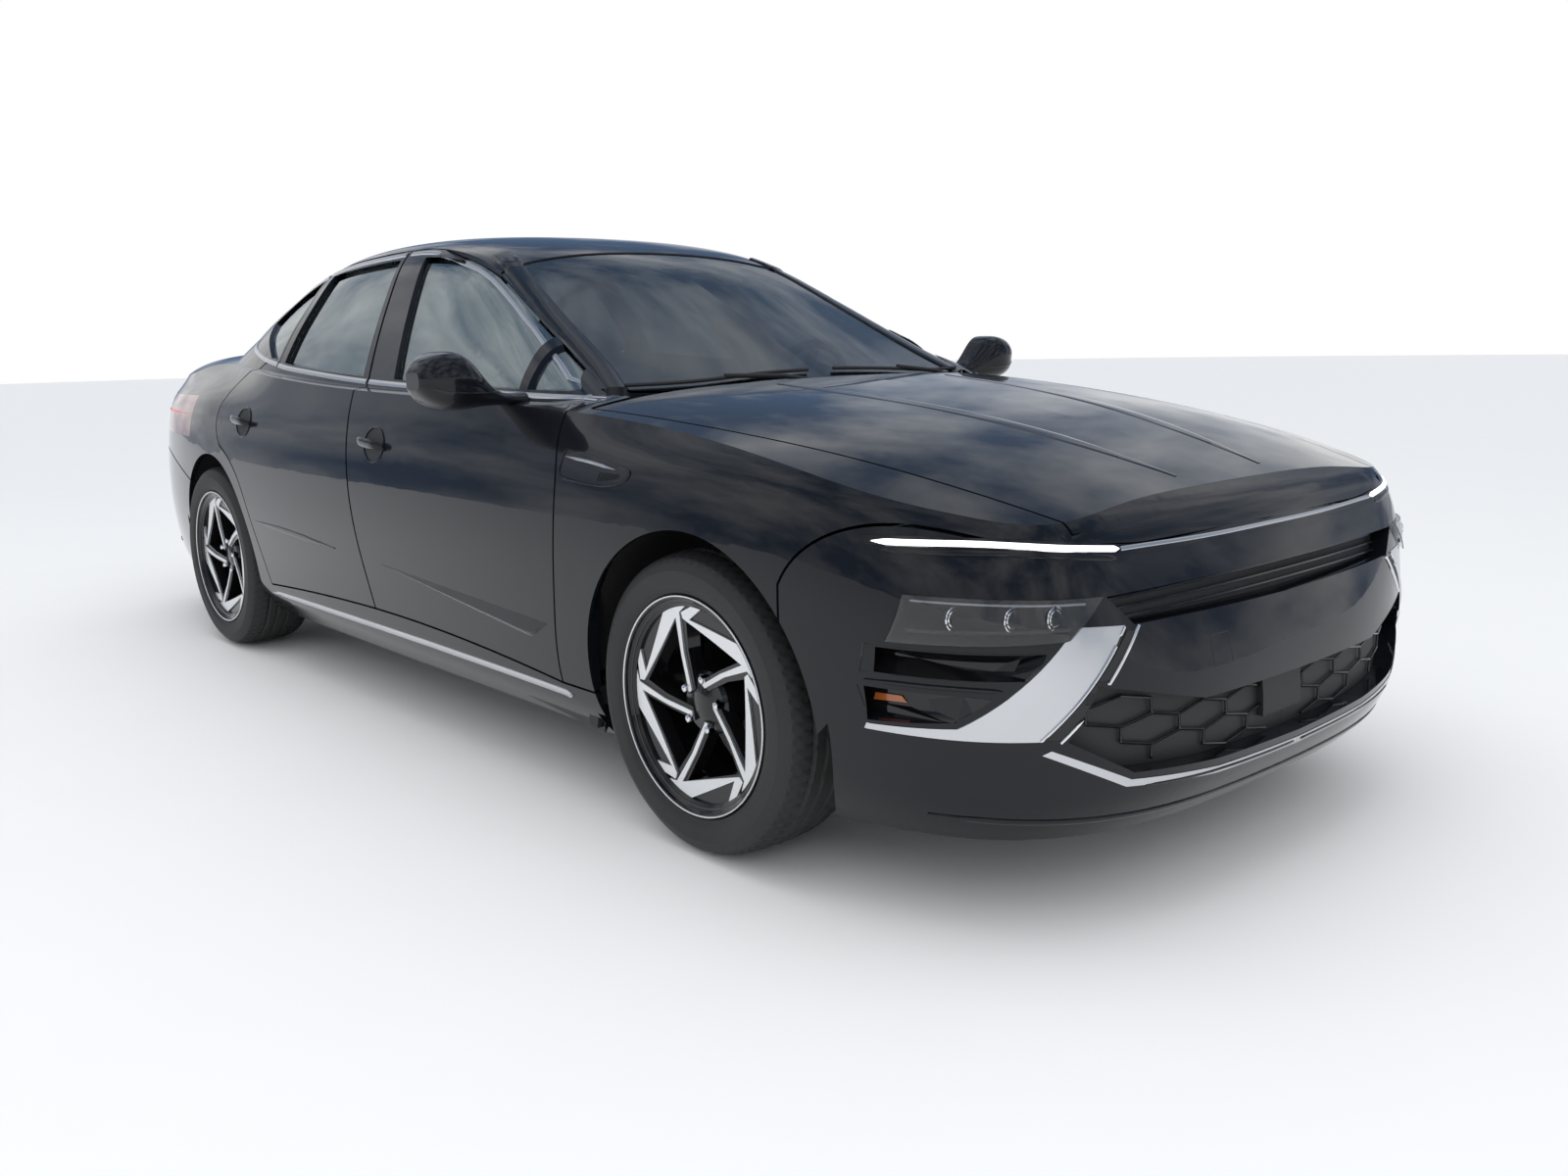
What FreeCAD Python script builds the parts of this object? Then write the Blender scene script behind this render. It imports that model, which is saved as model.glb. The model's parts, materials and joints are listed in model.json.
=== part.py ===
import FreeCAD, Part
import math
import os
from FreeCAD import Vector

# A four-door sedan car in millimetres: +X forward, +Y to the car's left, +Z up.
# The origin is on the ground, at mid-length and mid-width. Tables of shares give
# places along X in half lengths, along Y in half widths and along Z in heights.

# Driving dimensions
length = 4910.0
width = 1860.0
height = 1445.0
wheelbase = 2840.0
front_overhang = 920.0
tyre_radius = 334.0
tyre_width = 235.0
rim_flange_radius = 243.0
wheel_centre_y = 795.0

# Inlays on the nose and tail
lamp_depth = 42.0
lens_wall = 6.0
trim_depth = 7.0
trim_proud = 1.5
grille_depth = 44.0
grille_wall = 8.0
light_bar_half = 9.0
tail_lamp_depth = 36.0
nose_reach = 900.0

# Rims and hubs
rim_lip = 7.0
rim_well = 34.0
rim_dish = 22.0
hub_depth = 62.0
disc_gap = 12.0
tyre_tread_share = 0.72
tyre_steps = 80
bead_gap = 1.0
rim_seat_radius = 222.0
rim_wall = 9.0
rim_face_inset = 14.0
hub_radius = 78.0
hub_bore_radius = 32.0
spoke_depth = 26.0
spoke_count = 5
disc_radius = 152.0
disc_wall = 26.0
hub_carrier_radius = 60.0
brake_gap = 8.0

# Steering
kingpin_y = 716.0
knuckle_radius = 32.0
knuckle_height = 330.0
steer_wheel_radius = 182.0
steer_rim_radius = 15.0
steer_column_length = 260.0
steer_tilt_deg = 24.0

steer_boss_depth = 50.0
steer_column_gap = 0.3
steer_x = 500.0
steer_z = 905.0

# Running gear
arm_wall = 28.0
subframe_length = 360.0
subframe_half = 420.0
subframe_wall = 60.0
engine_length = 520.0
engine_half = 420.0
engine_low_z = 300.0
engine_height = 430.0
exhaust_radius = 25.0

# Cabin
dash_rear_x = 560.0
dash_low_z = 560.0
dash_high_z = 960.0
trim_gap = 6.0
front_seat_x = -60.0
front_seat_z = 330.0
rear_seat_x = -960.0
rear_seat_z = 340.0
rear_seat_width = 1220.0
rear_rest_y = 340.0
shelf_wall = 30.0
firewall_x = 1096.0
bulkhead_x = -1330.0

# Door mirrors: places out along Y, with the shell's depth, height and middle there
mirror_x = 742.0
mirror_z = 1012.0
mirror_root_y = 770.0
mirror_stations = ((0.0, 96.0, 34.0, -52.0), (120.0, 92.0, 44.0, -40.0), (170.0, 140.0, 92.0, -18.0),
                   (215.0, 176.0, 136.0, 0.0), (275.0, 172.0, 132.0, 4.0), (310.0, 128.0, 92.0, 6.0),
                   (326.0, 70.0, 46.0, 6.0))

mirror_sides = 16
mirror_square = 0.7
mirror_rear = 30.0

# Hinges
kingpin_radius = 12.0
scuttle_room = 84.0
hinge_pin = 3.5
hinge_eye = 7.0
hinge_bore_gap = 0.1
hinge_half = 20.0
hinge_plate = 6.0
hinge_root = 20.0
hinge_seat = 50.0
hinge_y = 903.0
front_hinge_x = 1119.0
front_hinge_zs = (490.0, 710.0)
front_strap_reach = 100.0
front_strap_depth = 68.0
rear_hinge_x = 50.0
rear_hinge_zs = (420.0, 600.0)
rear_strap_reach = 140.0
rear_strap_depth = 88.0
rear_root_reach = 130.0
hinge_room = 12.0
post_high_z = 880.0
post_foot_share = 0.87
sky_share = 2.0
post_front_x = 1068.0
post_rear_x = 1180.0
lid_pin = 5.0
lid_pin_half = 18.0
bonnet_hinge_x = 1095.0
bonnet_hinge_y = 804.0
bonnet_hinge_z = 933.0
bonnet_swing = 40.0
boot_hinge_x = -1700.0
boot_hinge_y = 430.0
boot_hinge_z = 1075.0
boot_arm_length = 100.0
boot_arm_drop = 92.0
boot_arm_ahead = 50.0
boot_arm_depth = 12.0

# Seats
seat_width = 520.0
seat_pad = 130.0
seat_length = 500.0
seat_back_height = 600.0
seat_back_wall = 110.0
seat_back_tilt_deg = 22.0
head_rest_height = 170.0
head_rest_width = 260.0
head_rest_wall = 90.0
front_seat_y = 380.0

# Gaps and walls
shut_gap = 6.0
seat_gap = 0.3
overrun = 400.0
door_wall = 90.0
frame_wall = 38.0
panel_wall = 34.0
door_skin = 8.0
frame_skin = 10.0
inner_gap = 12.0
liner_room = 16.0
lid_wall = 26.0
glass_wall = 5.0
glass_inset = 14.0
bumper_wall = 60.0
floor_wall = 30.0
jack_xs = (950.0, -780.0)
jack_y = 700.0
jack_half = 35.0
jack_drop = 6.0

# Wheel arches
arch_radius = 374.0
arch_rise = 8.0
well_radius = 406.0
well_inner_y = 470.0
rear_well_inner_y = 640.0
carrier_hole_radius = 80.0
liner_wall = 3.0
well_outer_y = 880.0
frame_lip = 14.0
seal_gap = 4.0
post_wall = 50.0
side_frame_wall = 56.0
screen_inset = 4.0
scuttle_gap = 8.0
scuttle_drop = 48.0
floor_gap = 2.0
join_tolerance = 0.01
post_half_share = 0.0285
post_shift_share = 0.001
glass_drop = 600.0

half_length = length / 2
half_width = width / 2
front_axle_x = half_length - front_overhang
rear_axle_x = front_axle_x - wheelbase
axle_z = tyre_radius

# The widest outline of the body in plan, from the nose round to the tail
plan_shares = (
    (1, 0), (1, 0.2473), (0.9927, 0.5054), (0.9613, 0.7419),
    (0.9002, 0.8978), (0.7963, 0.9731), (0.6253, 0.9957), (0.4175, 1),
    (0.1324, 1.0022), (-0.1527, 1.0022), (-0.3971, 0.9957), (-0.6008, 0.9763),
    (-0.7841, 0.9312), (-0.9145, 0.8333), (-0.9776, 0.6022), (-1, 0.3011),
    (-1, 0),
)
# Upright profiles of the flank: height, and the distance in from the widest outline
nose_shares = (
    (0.1176, 0.086), (0.1606, 0.0172), (0.2215, 0.0086), (0.3045, 0.0215), (0.3875, 0.0538),
    (0.4429, 0.0839), (0.4844, 0.1129), (0.5176, 0.1376), (0.5453, 0.1667), (0.5675, 0.2312),
    (0.7958, 0.3226),
)
corner_shares = (
    (0.1176, 0.1022), (0.1606, 0.0409), (0.2215, 0.0194), (0.3045, 0.0086), (0.3875, 0.0086),
    (0.4429, 0.0172), (0.4844, 0.0344), (0.5176, 0.0624), (0.5481, 0.1075), (0.5709, 0.1828),
    (0.7958, 0.3011),
)
front_wing_shares = (
    (0.1176, 0.0806), (0.1592, 0.043), (0.2145, 0.0269), (0.2976, 0.0086), (0.3875, 0),
    (0.4567, 0), (0.5121, 0.0086), (0.5571, 0.0376), (0.5882, 0.0914), (0.609, 0.172),
    (0.7958, 0.3118),
)
front_axle_shares = (
    (0.1176, 0.0806), (0.1557, 0.0484), (0.2076, 0.028), (0.2976, 0.0086), (0.3875, 0),
    (0.4775, 0), (0.5433, 0.0129), (0.5952, 0.0452), (0.6311, 0.1022), (0.654, 0.1828),
    (0.7958, 0.3226),
)
door_shares = (
    (0.1142, 0.1183), (0.1467, 0.0624), (0.1765, 0.0366), (0.2284, 0.0258), (0.3045, 0.0108),
    (0.3875, 0), (0.4844, 0.0043), (0.5606, 0.0237), (0.6228, 0.0559), (0.6817, 0.0968),
    (0.7958, 0.1613),
)
rear_axle_shares = (
    (0.1176, 0.0806), (0.1557, 0.0484), (0.2076, 0.028), (0.2976, 0.0086), (0.3875, 0),
    (0.4844, 0), (0.5571, 0.0086), (0.6194, 0.0376), (0.6699, 0.0946), (0.7003, 0.172),
    (0.7958, 0.3118),
)
rear_corner_shares = (
    (0.1176, 0.0914), (0.1578, 0.0452), (0.2145, 0.0237), (0.2907, 0.0054), (0.3737, 0),
    (0.4498, 0.0054), (0.519, 0.0151), (0.5813, 0.0301), (0.6367, 0.0645), (0.6657, 0.129),
    (0.7958, 0.2258),
)
tail_shares = (
    (0.1176, 0.1022), (0.1578, 0.0516), (0.218, 0.0172), (0.2907, 0), (0.3599, 0),
    (0.4291, 0.0129), (0.5121, 0.0344), (0.5952, 0.0538), (0.6644, 0.071), (0.7128, 0.086),
    (0.7958, 0.1129),
)
flank_stations = (
    nose_shares, nose_shares, nose_shares, corner_shares, corner_shares, front_wing_shares,
    front_axle_shares, door_shares, door_shares, door_shares, door_shares, rear_axle_shares,
    rear_corner_shares, rear_corner_shares, tail_shares, tail_shares, tail_shares,
)

# The deck that closes the body on top: bonnet, scuttle and boot. Each row gives X, then
# the height at each of the distances from the centreline in deck_y_shares.
deck_y_shares = (0, 0.2688, 0.4839, 0.6667, 0.8172, 1.0753)
deck_shares = (
    (1.0367, (0.4844, 0.483, 0.4761, 0.4651, 0.4498, 0.4152)),
    (0.9796, (0.5246, 0.5232, 0.5163, 0.5052, 0.4886, 0.4533)),
    (0.9185, (0.5592, 0.5578, 0.5516, 0.5405, 0.5246, 0.4913)),
    (0.8371, (0.5993, 0.5979, 0.591, 0.5799, 0.564, 0.5329)),
    (0.7352, (0.6388, 0.6374, 0.6304, 0.6201, 0.6048, 0.5744)),
    (0.6212, (0.6664, 0.6651, 0.6588, 0.6491, 0.6339, 0.6021)),
    (0.499, (0.6851, 0.6837, 0.6789, 0.6706, 0.6561, 0.6228)),
    (0.3768, (0.6976, 0.6962, 0.692, 0.6851, 0.6713, 0.6367)),
    (0.1324, (0.6976, 0.6969, 0.6941, 0.6893, 0.6782, 0.6436)),
    (-0.1527, (0.7045, 0.7038, 0.701, 0.6962, 0.6865, 0.6505)),
    (-0.4379, (0.7336, 0.7329, 0.7294, 0.7232, 0.7114, 0.6713)),
    (-0.6415, (0.7599, 0.7585, 0.7529, 0.7419, 0.7211, 0.6644)),
    (-0.7841, (0.7446, 0.7433, 0.7349, 0.7163, 0.6817, 0.609)),
    (-0.9063, (0.7349, 0.7336, 0.7239, 0.6955, 0.6401, 0.5467)),
    (-1.0326, (0.7391, 0.7377, 0.7266, 0.692, 0.6263, 0.526)),
)

# The glasshouse: rows run over the car from the scuttle to the boot. Each place is
# (X, Y, Z) from the centreline out to the belt and down inside the flank.
glasshouse_shares = (
    ((0.4949, 0, 0.6228), (0.4908, 0.2796, 0.6228), (0.4786, 0.5376, 0.6215),
     (0.4705, 0.7097, 0.6194), (0.4664, 0.7957, 0.6125), (0.4664, 0.8495, 0.5986),
     (0.4664, 0.8925, 0.5744), (0.4664, 0.9269, 0.5398)),
    ((0.442, 0, 0.6657), (0.4363, 0.2796, 0.6651), (0.4175, 0.5376, 0.6623),
     (0.4073, 0.7097, 0.6609), (0.4114, 0.7935, 0.6574), (0.4175, 0.8495, 0.6401),
     (0.4216, 0.8978, 0.609), (0.4216, 0.9269, 0.5467)),
    ((0.3442, 0, 0.7474), (0.3385, 0.2688, 0.746), (0.3206, 0.5054, 0.7419),
     (0.3116, 0.6667, 0.7391), (0.3136, 0.7527, 0.7322), (0.3157, 0.8194, 0.7059),
     (0.3157, 0.8903, 0.6609), (0.3157, 0.929, 0.5606)),
    ((0.2138, 0, 0.8581), (0.209, 0.2527, 0.8561), (0.1955, 0.4624, 0.8498),
     (0.1878, 0.6022, 0.8429), (0.1853, 0.6753, 0.8291), (0.1833, 0.7527, 0.782),
     (0.1833, 0.8602, 0.692), (0.1833, 0.9312, 0.5744)),
    ((0.0916, 0, 0.9585), (0.0896, 0.2366, 0.9564), (0.0835, 0.4301, 0.9495),
     (0.0774, 0.5591, 0.9398), (0.0713, 0.6323, 0.919), (0.0672, 0.7151, 0.8526),
     (0.0631, 0.8441, 0.7128), (0.0631, 0.9312, 0.5882)),
    ((-0.0387, 0, 0.9965), (-0.0387, 0.2258, 0.9945), (-0.0387, 0.4194, 0.9869),
     (-0.0428, 0.5538, 0.9737), (-0.0468, 0.629, 0.9481), (-0.0509, 0.7043, 0.872),
     (-0.0509, 0.8409, 0.7232), (-0.0509, 0.9312, 0.5882)),
    ((-0.1853, 0, 1.0028), (-0.1853, 0.2258, 1.0007), (-0.1853, 0.4194, 0.9924),
     (-0.1853, 0.5538, 0.9779), (-0.1853, 0.629, 0.9502), (-0.1853, 0.7043, 0.8754),
     (-0.1853, 0.8387, 0.7336), (-0.1853, 0.929, 0.5882)),
    ((-0.3238, 0, 0.991), (-0.3238, 0.2258, 0.9889), (-0.3238, 0.414, 0.9806),
     (-0.3218, 0.5484, 0.9661), (-0.3198, 0.6258, 0.9384), (-0.3157, 0.7011, 0.8685),
     (-0.3116, 0.8301, 0.7439), (-0.3116, 0.9226, 0.5882)),
    ((-0.4705, 0, 0.9426), (-0.4684, 0.2204, 0.9405), (-0.4623, 0.4032, 0.9315),
     (-0.4562, 0.543, 0.9149), (-0.4481, 0.629, 0.8872), (-0.4399, 0.7043, 0.8339),
     (-0.4318, 0.8151, 0.7509), (-0.4318, 0.9097, 0.5882)),
    ((-0.6171, 0, 0.8581), (-0.613, 0.2204, 0.8561), (-0.6008, 0.4032, 0.8471),
     (-0.5866, 0.5538, 0.8291), (-0.5723, 0.6559, 0.7993), (-0.5601, 0.7366, 0.7599),
     (-0.5519, 0.8172, 0.7128), (-0.5519, 0.8871, 0.5882)),
    ((-0.7393, 0, 0.7751), (-0.7332, 0.2204, 0.7723), (-0.7189, 0.4086, 0.7626),
     (-0.7006, 0.5699, 0.7433), (-0.6823, 0.6882, 0.7163), (-0.6701, 0.7688, 0.6817),
     (-0.666, 0.8226, 0.6436), (-0.666, 0.8602, 0.5675)),
    ((-0.8289, 0, 0.7024), (-0.8228, 0.2204, 0.7003), (-0.8065, 0.414, 0.692),
     (-0.7882, 0.5806, 0.6747), (-0.7678, 0.7043, 0.6505), (-0.7556, 0.7742, 0.6228),
     (-0.7475, 0.8118, 0.5952), (-0.7475, 0.8333, 0.5398)),
)

# Shut lines and windows on the side of the body, as (X, Z) shares
belt_run = ((0.4175, 0.6685), (0.2546, 0.6734), (0.0509, 0.6803), (-0.1527, 0.692),
            (-0.3157, 0.7073), (-0.4216, 0.7239), (-0.5193, 0.7557))
window_run = ((-0.5193, 0.7557), (-0.5308, 0.7785), (-0.5153, 0.8339),
              (-0.4684, 0.8803), (-0.3646, 0.9246), (-0.2342, 0.9439), (-0.112, 0.9516),
              (-0.0224, 0.9481), (0.0631, 0.926), (0.1527, 0.8796), (0.2546, 0.8042),
              (0.336, 0.7294), (0.3829, 0.6851), (0.4175, 0.6685))
b_shut_high_run = ((-0.1283, 0.9965), (-0.057, 0.6817))
b_shut_run = ((-0.057, 0.6817), (-0.0542, 0.6436), (-0.046, 0.5979), (-0.0322, 0.5135),
              (-0.0232, 0.4498), (-0.0094, 0.3599), (0.0081, 0.2284))
front_shut_high_run = ((0.4191, 0.7612), (0.4175, 0.6685))
front_shut_run = ((0.4175, 0.6685), (0.4183, 0.609), (0.4265, 0.5675), (0.4314, 0.5121),
                  (0.4314, 0.4429), (0.4265, 0.3488), (0.4208, 0.2879), (0.4191, 0.2021))
front_door_low_run = ((0.4191, 0.2021), (0.2138, 0.2242), (0.0081, 0.2284))
rear_door_low_run = ((0.0081, 0.2284), (-0.1731, 0.2187), (-0.336, 0.2021))
arch_shut_run = ((-0.336, 0.2021), (-0.3483, 0.2664), (-0.3707, 0.3529), (-0.4053, 0.4464),
                 (-0.442, 0.4927), (-0.4807, 0.5204))
rear_shut_run = ((-0.4807, 0.5204), (-0.501, 0.5606), (-0.5079, 0.6055), (-0.4949, 0.6505),
                 (-0.468, 0.6851), (-0.4257, 0.7197))
quarter_shut_run = ((-0.3686, 0.7211), (-0.3544, 0.9965))
front_glass_rear_run = ((0.0102, 0.6817), (-0.0774, 0.9965))
rear_glass_front_run = ((-0.1365, 0.9965), (-0.0745, 0.6817))
rear_glass_rear_run = ((-0.3483, 0.7059), (-0.336, 0.9965))
front_bar_rear_run = ((0.3002, 0.6505), (0.2045, 0.9965))
front_bar_front_run = ((0.3141, 0.6505), (0.2183, 0.9965))
bumper_shut_run = ((0.7458, 0.4429), (0.7637, 0.4844), (0.8204, 0.5301), (0.8859, 0.5232),
                   (1.0692, 0.5176))

# Outlines of the glass, roof and lids from above, as (X, Y) shares
screen_base_run = ((0.4216, 0), (0.4183, 0.2688), (0.4037, 0.5161), (0.3788, 0.7183))
screen_side_run = ((0.3788, 0.7183), (0.2464, 0.6667), (0.1079, 0.6043))
screen_top_run = ((0.1079, 0.6043), (0.0982, 0.4301), (0.0925, 0.2151), (0.0908, 0))
roof_side_run = ((0.1079, 0.6043), (-0.0305, 0.5806), (-0.1935, 0.572), (-0.3564, 0.5677))
roof_rear_run = ((-0.3564, 0.5677), (-0.3707, 0.4086), (-0.3768, 0.2151), (-0.3788, 0))
light_side_run = ((-0.3564, 0.5677), (-0.499, 0.5978), (-0.6782, 0.6452))
light_base_run = ((-0.6782, 0.6452), (-0.7088, 0.4516), (-0.7198, 0.2366), (-0.723, 0))
bonnet_rear_run = ((0.4521, 0), (0.4505, 0.2796), (0.4452, 0.5376), (0.4395, 0.7419),
                   (0.4363, 0.8667))
bonnet_side_run = ((0.4363, 0.8667), (0.5483, 0.8398), (0.6937, 0.7914), (0.8, 0.7376),
                   (0.8778, 0.6903), (0.9336, 0.6516))
lid_front_run = ((-0.7373, 0), (-0.7336, 0.2581), (-0.721, 0.4731), (-0.6925, 0.6516))
lid_side_run = ((-0.6925, 0.6516), (-0.8045, 0.6882), (-0.9063, 0.6935))
bonnet_low_share = 0.5176
lid_low_share = 0.4879
lid_face_half_share = 0.6022
rear_bumper_high_share = 0.4775
nose_reach_share = 1.2
flank_low_share = 0.1176
rear_bumper_shut_run = ((-1.0489, 0.4775), (-0.947, 0.4775), (-0.8452, 0.4844),
                        (-0.7434, 0.4595), (-0.6415, 0.4152))

# Places on the nose as (Y, Z) shares
light_bar_run = ((0.9226, 0.5135), (0.8065, 0.5135), (0.6452, 0.5038), (0.5161, 0.4927),
                 (0.2581, 0.4907), (0, 0.4907))
lamp_shares = ((0.9118, 0.4512), (0.628, 0.4436), (0.714, 0.3931), (0.928, 0.3875))
corner_slot_shares = ((0.9376, 0.3253), (0.8624, 0.3253), (0.8667, 0.2907), (0.9312, 0.2796))
side_slot_shares = ((0.9333, 0.3792), (0.7527, 0.3792), (0.772, 0.346), (0.9333, 0.346))
silver_panel_shares = ((0.6989, 0.4097), (0.5785, 0.4035), (0.757, 0.2671), (0.9312, 0.2671),
                       (0.9312, 0.2754), (0.8667, 0.2824))
inset_strip_shares = ((0.572, 0.4035), (0.5398, 0.4014), (0.7247, 0.263), (0.757, 0.263))
upper_slot_shares = ((0, 0.4401), (0.6151, 0.4415), (0.5505, 0.4014), (0, 0.3972))
mesh_shares = ((0, 0.2879), (0.371, 0.2893), (0.6516, 0.3322), (0.714, 0.2644),
               (0.5699, 0.2118), (0.3226, 0.2007), (0, 0.1965))
silver_low_shares = ((0, 0.1855), (0.3226, 0.1896), (0.5763, 0.2035), (0.7419, 0.2547),
                     (0.757, 0.2491), (0.586, 0.1938), (0.3226, 0.1785), (0, 0.1744))
lip_high_share = 0.1606
# Places on the tail as (Y, Z) shares
tail_lamp_shares = ((0.9677, 0.6401), (0.7527, 0.6263), (0.6022, 0.6035), (0.6022, 0.5536),
                    (0.6882, 0.5329), (0.9677, 0.5294))
lid_lamp_shares = ((0, 0.6007), (0.5989, 0.6035), (0.5989, 0.5855), (0, 0.5827))
plate_recess_shares = ((0, 0.4429), (0.2903, 0.4429), (0.2688, 0.346), (0, 0.346))
quarter_glass_run = ((-0.3768, 0.7059), (-0.3625, 0.9965))


def side_x(share):
    return share * half_length


def side_y(share):
    return share * half_width


def high(share):
    return share * height


# Surfaces from a net of places
def knot_row(count, degree):
    inner = count - degree
    mults = [degree + 1] + [1] * (inner - 1) + [degree + 1]
    knots = [i / inner for i in range(inner + 1)]
    return mults, knots


def net_surface(net, degree=3):
    rows = knot_row(len(net), degree)
    columns = knot_row(len(net[0]), degree)
    surface = Part.BSplineSurface()
    surface.buildFromPolesMultsKnots(
        net, rows[0], columns[0], rows[1], columns[1], False, False, degree, degree)
    return surface


def clamp_index(i, count):
    return max(0, min(count - 1, i))


def net_normal(net, i, j):
    rows = len(net)
    columns = len(net[0])
    along = net[clamp_index(i + 1, rows)][j] - net[clamp_index(i - 1, rows)][j]
    across = net[i][clamp_index(j + 1, columns)] - net[i][clamp_index(j - 1, columns)]
    normal = along.cross(across)
    normal.normalize()
    return normal


def offset_net(net, inset):
    """Move each place of the net inwards along the net's own normal."""
    moved = []
    for i in range(len(net)):
        row = []
        for j in range(len(net[0])):
            normal = net_normal(net, i, j)
            row.append(net[i][j] + normal * inset)
        moved.append(row)
    return moved


def flank_net(inset=0.0):
    """Places of the body's half perimeter, one upright profile for each plan place."""
    plan = [Vector(side_x(a), side_y(b), 0) for a, b in plan_shares]
    last = len(plan) - 1
    net = []
    for i, (place, station) in enumerate(zip(plan, flank_stations)):
        along = plan[min(i + 1, last)] - plan[max(i - 1, 0)]
        normal = Vector(-along.y, along.x, 0)
        if i == 0:
            normal = Vector(-1, 0, 0)
        if i == last:
            normal = Vector(1, 0, 0)
        normal.normalize()
        if normal.x * place.x + normal.y * place.y > 0:
            normal = normal * -1
        row = []
        for z_share, in_share in station:
            point = place + normal * (side_y(in_share) + inset)
            row.append(Vector(point.x, point.y, high(z_share)))
        net.append(row)
    bottom = min(row[0].z for row in net) - inset
    top = max(row[-1].z for row in net)
    for row in net:
        row[0].z = bottom
        row[-1].z = top
    return net


def line(a, b):
    return Part.LineSegment(a, b).toShape()


def flank_solid(inset=0.0):
    """Half of the body below the deck, closed on the centre plane."""
    surface = net_surface(flank_net(inset))
    skin = surface.toShape()
    rim_low = surface.vIso(0).toShape()
    rim_high = surface.vIso(1).toShape()
    nose = surface.uIso(0).toShape()
    tail = surface.uIso(1).toShape()

    def ends(edge):
        return edge.valueAt(edge.FirstParameter), edge.valueAt(edge.LastParameter)

    low_line = line(*ends(rim_low))
    high_line = line(*ends(rim_high))
    faces = [
        skin,
        Part.Face(Part.Wire([rim_low, low_line])),
        Part.Face(Part.Wire([rim_high, high_line])),
        Part.Face(Part.Wire(Part.__sortEdges__([nose, high_line, tail, low_line]))),
    ]
    shell = Part.Shell(faces)
    shell.sewShape()
    return oriented(Part.Solid(shell))


def oriented(solid):
    if solid.Volume < 0:
        solid.reverse()
    return solid


def both_ways(row):
    """A row of places over the whole width, the right side mirrored from the left."""
    return [Vector(p.x, -p.y, p.z) for p in reversed(row[1:])] + row


def deck_net():
    net = []
    for x_share, heights in deck_shares:
        net.append(both_ways([Vector(side_x(x_share), side_y(y), high(z))
                              for y, z in zip(deck_y_shares, heights)]))
    return net


def glasshouse_net():
    return [both_ways([Vector(side_x(a), side_y(b), high(c)) for a, b, c in row])
            for row in glasshouse_shares]


def under(net, drop):
    """The solid below a surface that has one height at each place."""
    face = net_surface(net).toShape()
    return oriented(face.extrude(Vector(0, 0, -drop)))


body_cache = {}


def lower_body(inset, deck_inset):
    key = ("lower", inset, deck_inset)
    if key not in body_cache:
        deck = under([[p - Vector(0, 0, deck_inset) for p in row] for row in deck_net()], height)
        body_cache[key] = flank_solid(inset).common(deck)
    return body_cache[key]


def glasshouse(inset, drop):
    key = ("glass", inset, drop)
    if key not in body_cache:
        net = offset_net(glasshouse_net(), inset) if inset else glasshouse_net()
        left = Part.makeBox(2 * length, width, 4 * height, Vector(-length, 0, -2 * height))
        body_cache[key] = under(net, drop).common(left)
    return body_cache[key]


def whole_body(inset, deck_inset, glass_house_inset, drop):
    key = ("whole", inset, deck_inset, glass_house_inset, drop)
    if key not in body_cache:
        upper = glasshouse(glass_house_inset, drop)
        body_cache[key] = lower_body(inset, deck_inset).fuse(upper)
    return body_cache[key]


# Outlines and sweeps
def run_edge(places):
    if len(places) == 2:
        return line(places[0], places[1])
    curve = Part.BSplineCurve()
    curve.interpolate(places)
    return curve.toShape()


def side_place(a, b):
    return Vector(side_x(a), 0, high(b))


def top_place(a, b):
    return Vector(side_x(a), side_y(b), 0)


def front_place(a, b):
    return Vector(0, side_y(a), high(b))


def outline(place, *runs):
    """A flat face inside runs of shares. Straight links join runs that stop short."""
    edges = []
    for i, run in enumerate(runs):
        before = runs[i - 1][-1]
        if before != run[0]:
            edges.append(line(place(*before), place(*run[0])))
        edges.append(run_edge([place(a, b) for a, b in run]))
    return Part.Face(Part.Wire(Part.__sortEdges__(edges)))


def backwards(run):
    return tuple(reversed(run))


def resized(face, gap):
    """The same flat outline grown by a gap all round, or shrunk where it is negative."""
    return face.makeOffset2D(gap).toNurbs().Faces[0] if gap else face


def one_face(shape):
    return max(shape.removeSplitter().Faces, key=lambda f: f.Area)


def oriented_all(shape):
    solids = [oriented(s) for s in shape.Solids]
    return solids[0] if len(solids) == 1 else solids[0].multiFuse(solids[1:])


def swept(face, start, sweep):
    moved = face.copy()
    moved.translate(start)
    return oriented_all(moved.extrude(sweep))


def sweep_side(face, y_low=0.0, y_high=None):
    y_high = y_high or half_width + overrun
    return swept(face, Vector(0, y_low, 0), Vector(0, y_high - y_low, 0))


def sweep_up(face, z_low=0.0):
    return swept(face, Vector(0, 0, z_low), Vector(0, 0, height + overrun - z_low))


def sweep_front(face, x_low, x_high):
    return swept(face, Vector(x_low, 0, 0), Vector(x_high - x_low, 0, 0))


def block(x_low, x_high, y_low, y_high, z_low, z_high):
    return Part.makeBox(x_high - x_low, y_high - y_low, z_high - z_low,
                        Vector(x_low, y_low, z_low))


def mirrored(shape):
    return shape.mirror(Vector(0, 0, 0), Vector(0, 1, 0))


def both_sides(shape):
    return Part.makeCompound(list(shape.Solids) + list(mirrored(shape).Solids))


def joined_halves(shape):
    """A piece that crosses the centre plane, from its left half."""
    return shape.fuse([mirrored(shape)], join_tolerance)


def cylinder_y(x, z, radius, y_low, y_high):
    return Part.makeCylinder(radius, y_high - y_low, Vector(x, y_low, z), Vector(0, 1, 0))


def cylinder_z(x, y, radius, z_low, z_high):
    return Part.makeCylinder(radius, z_high - z_low, Vector(x, y, z_low))


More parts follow.
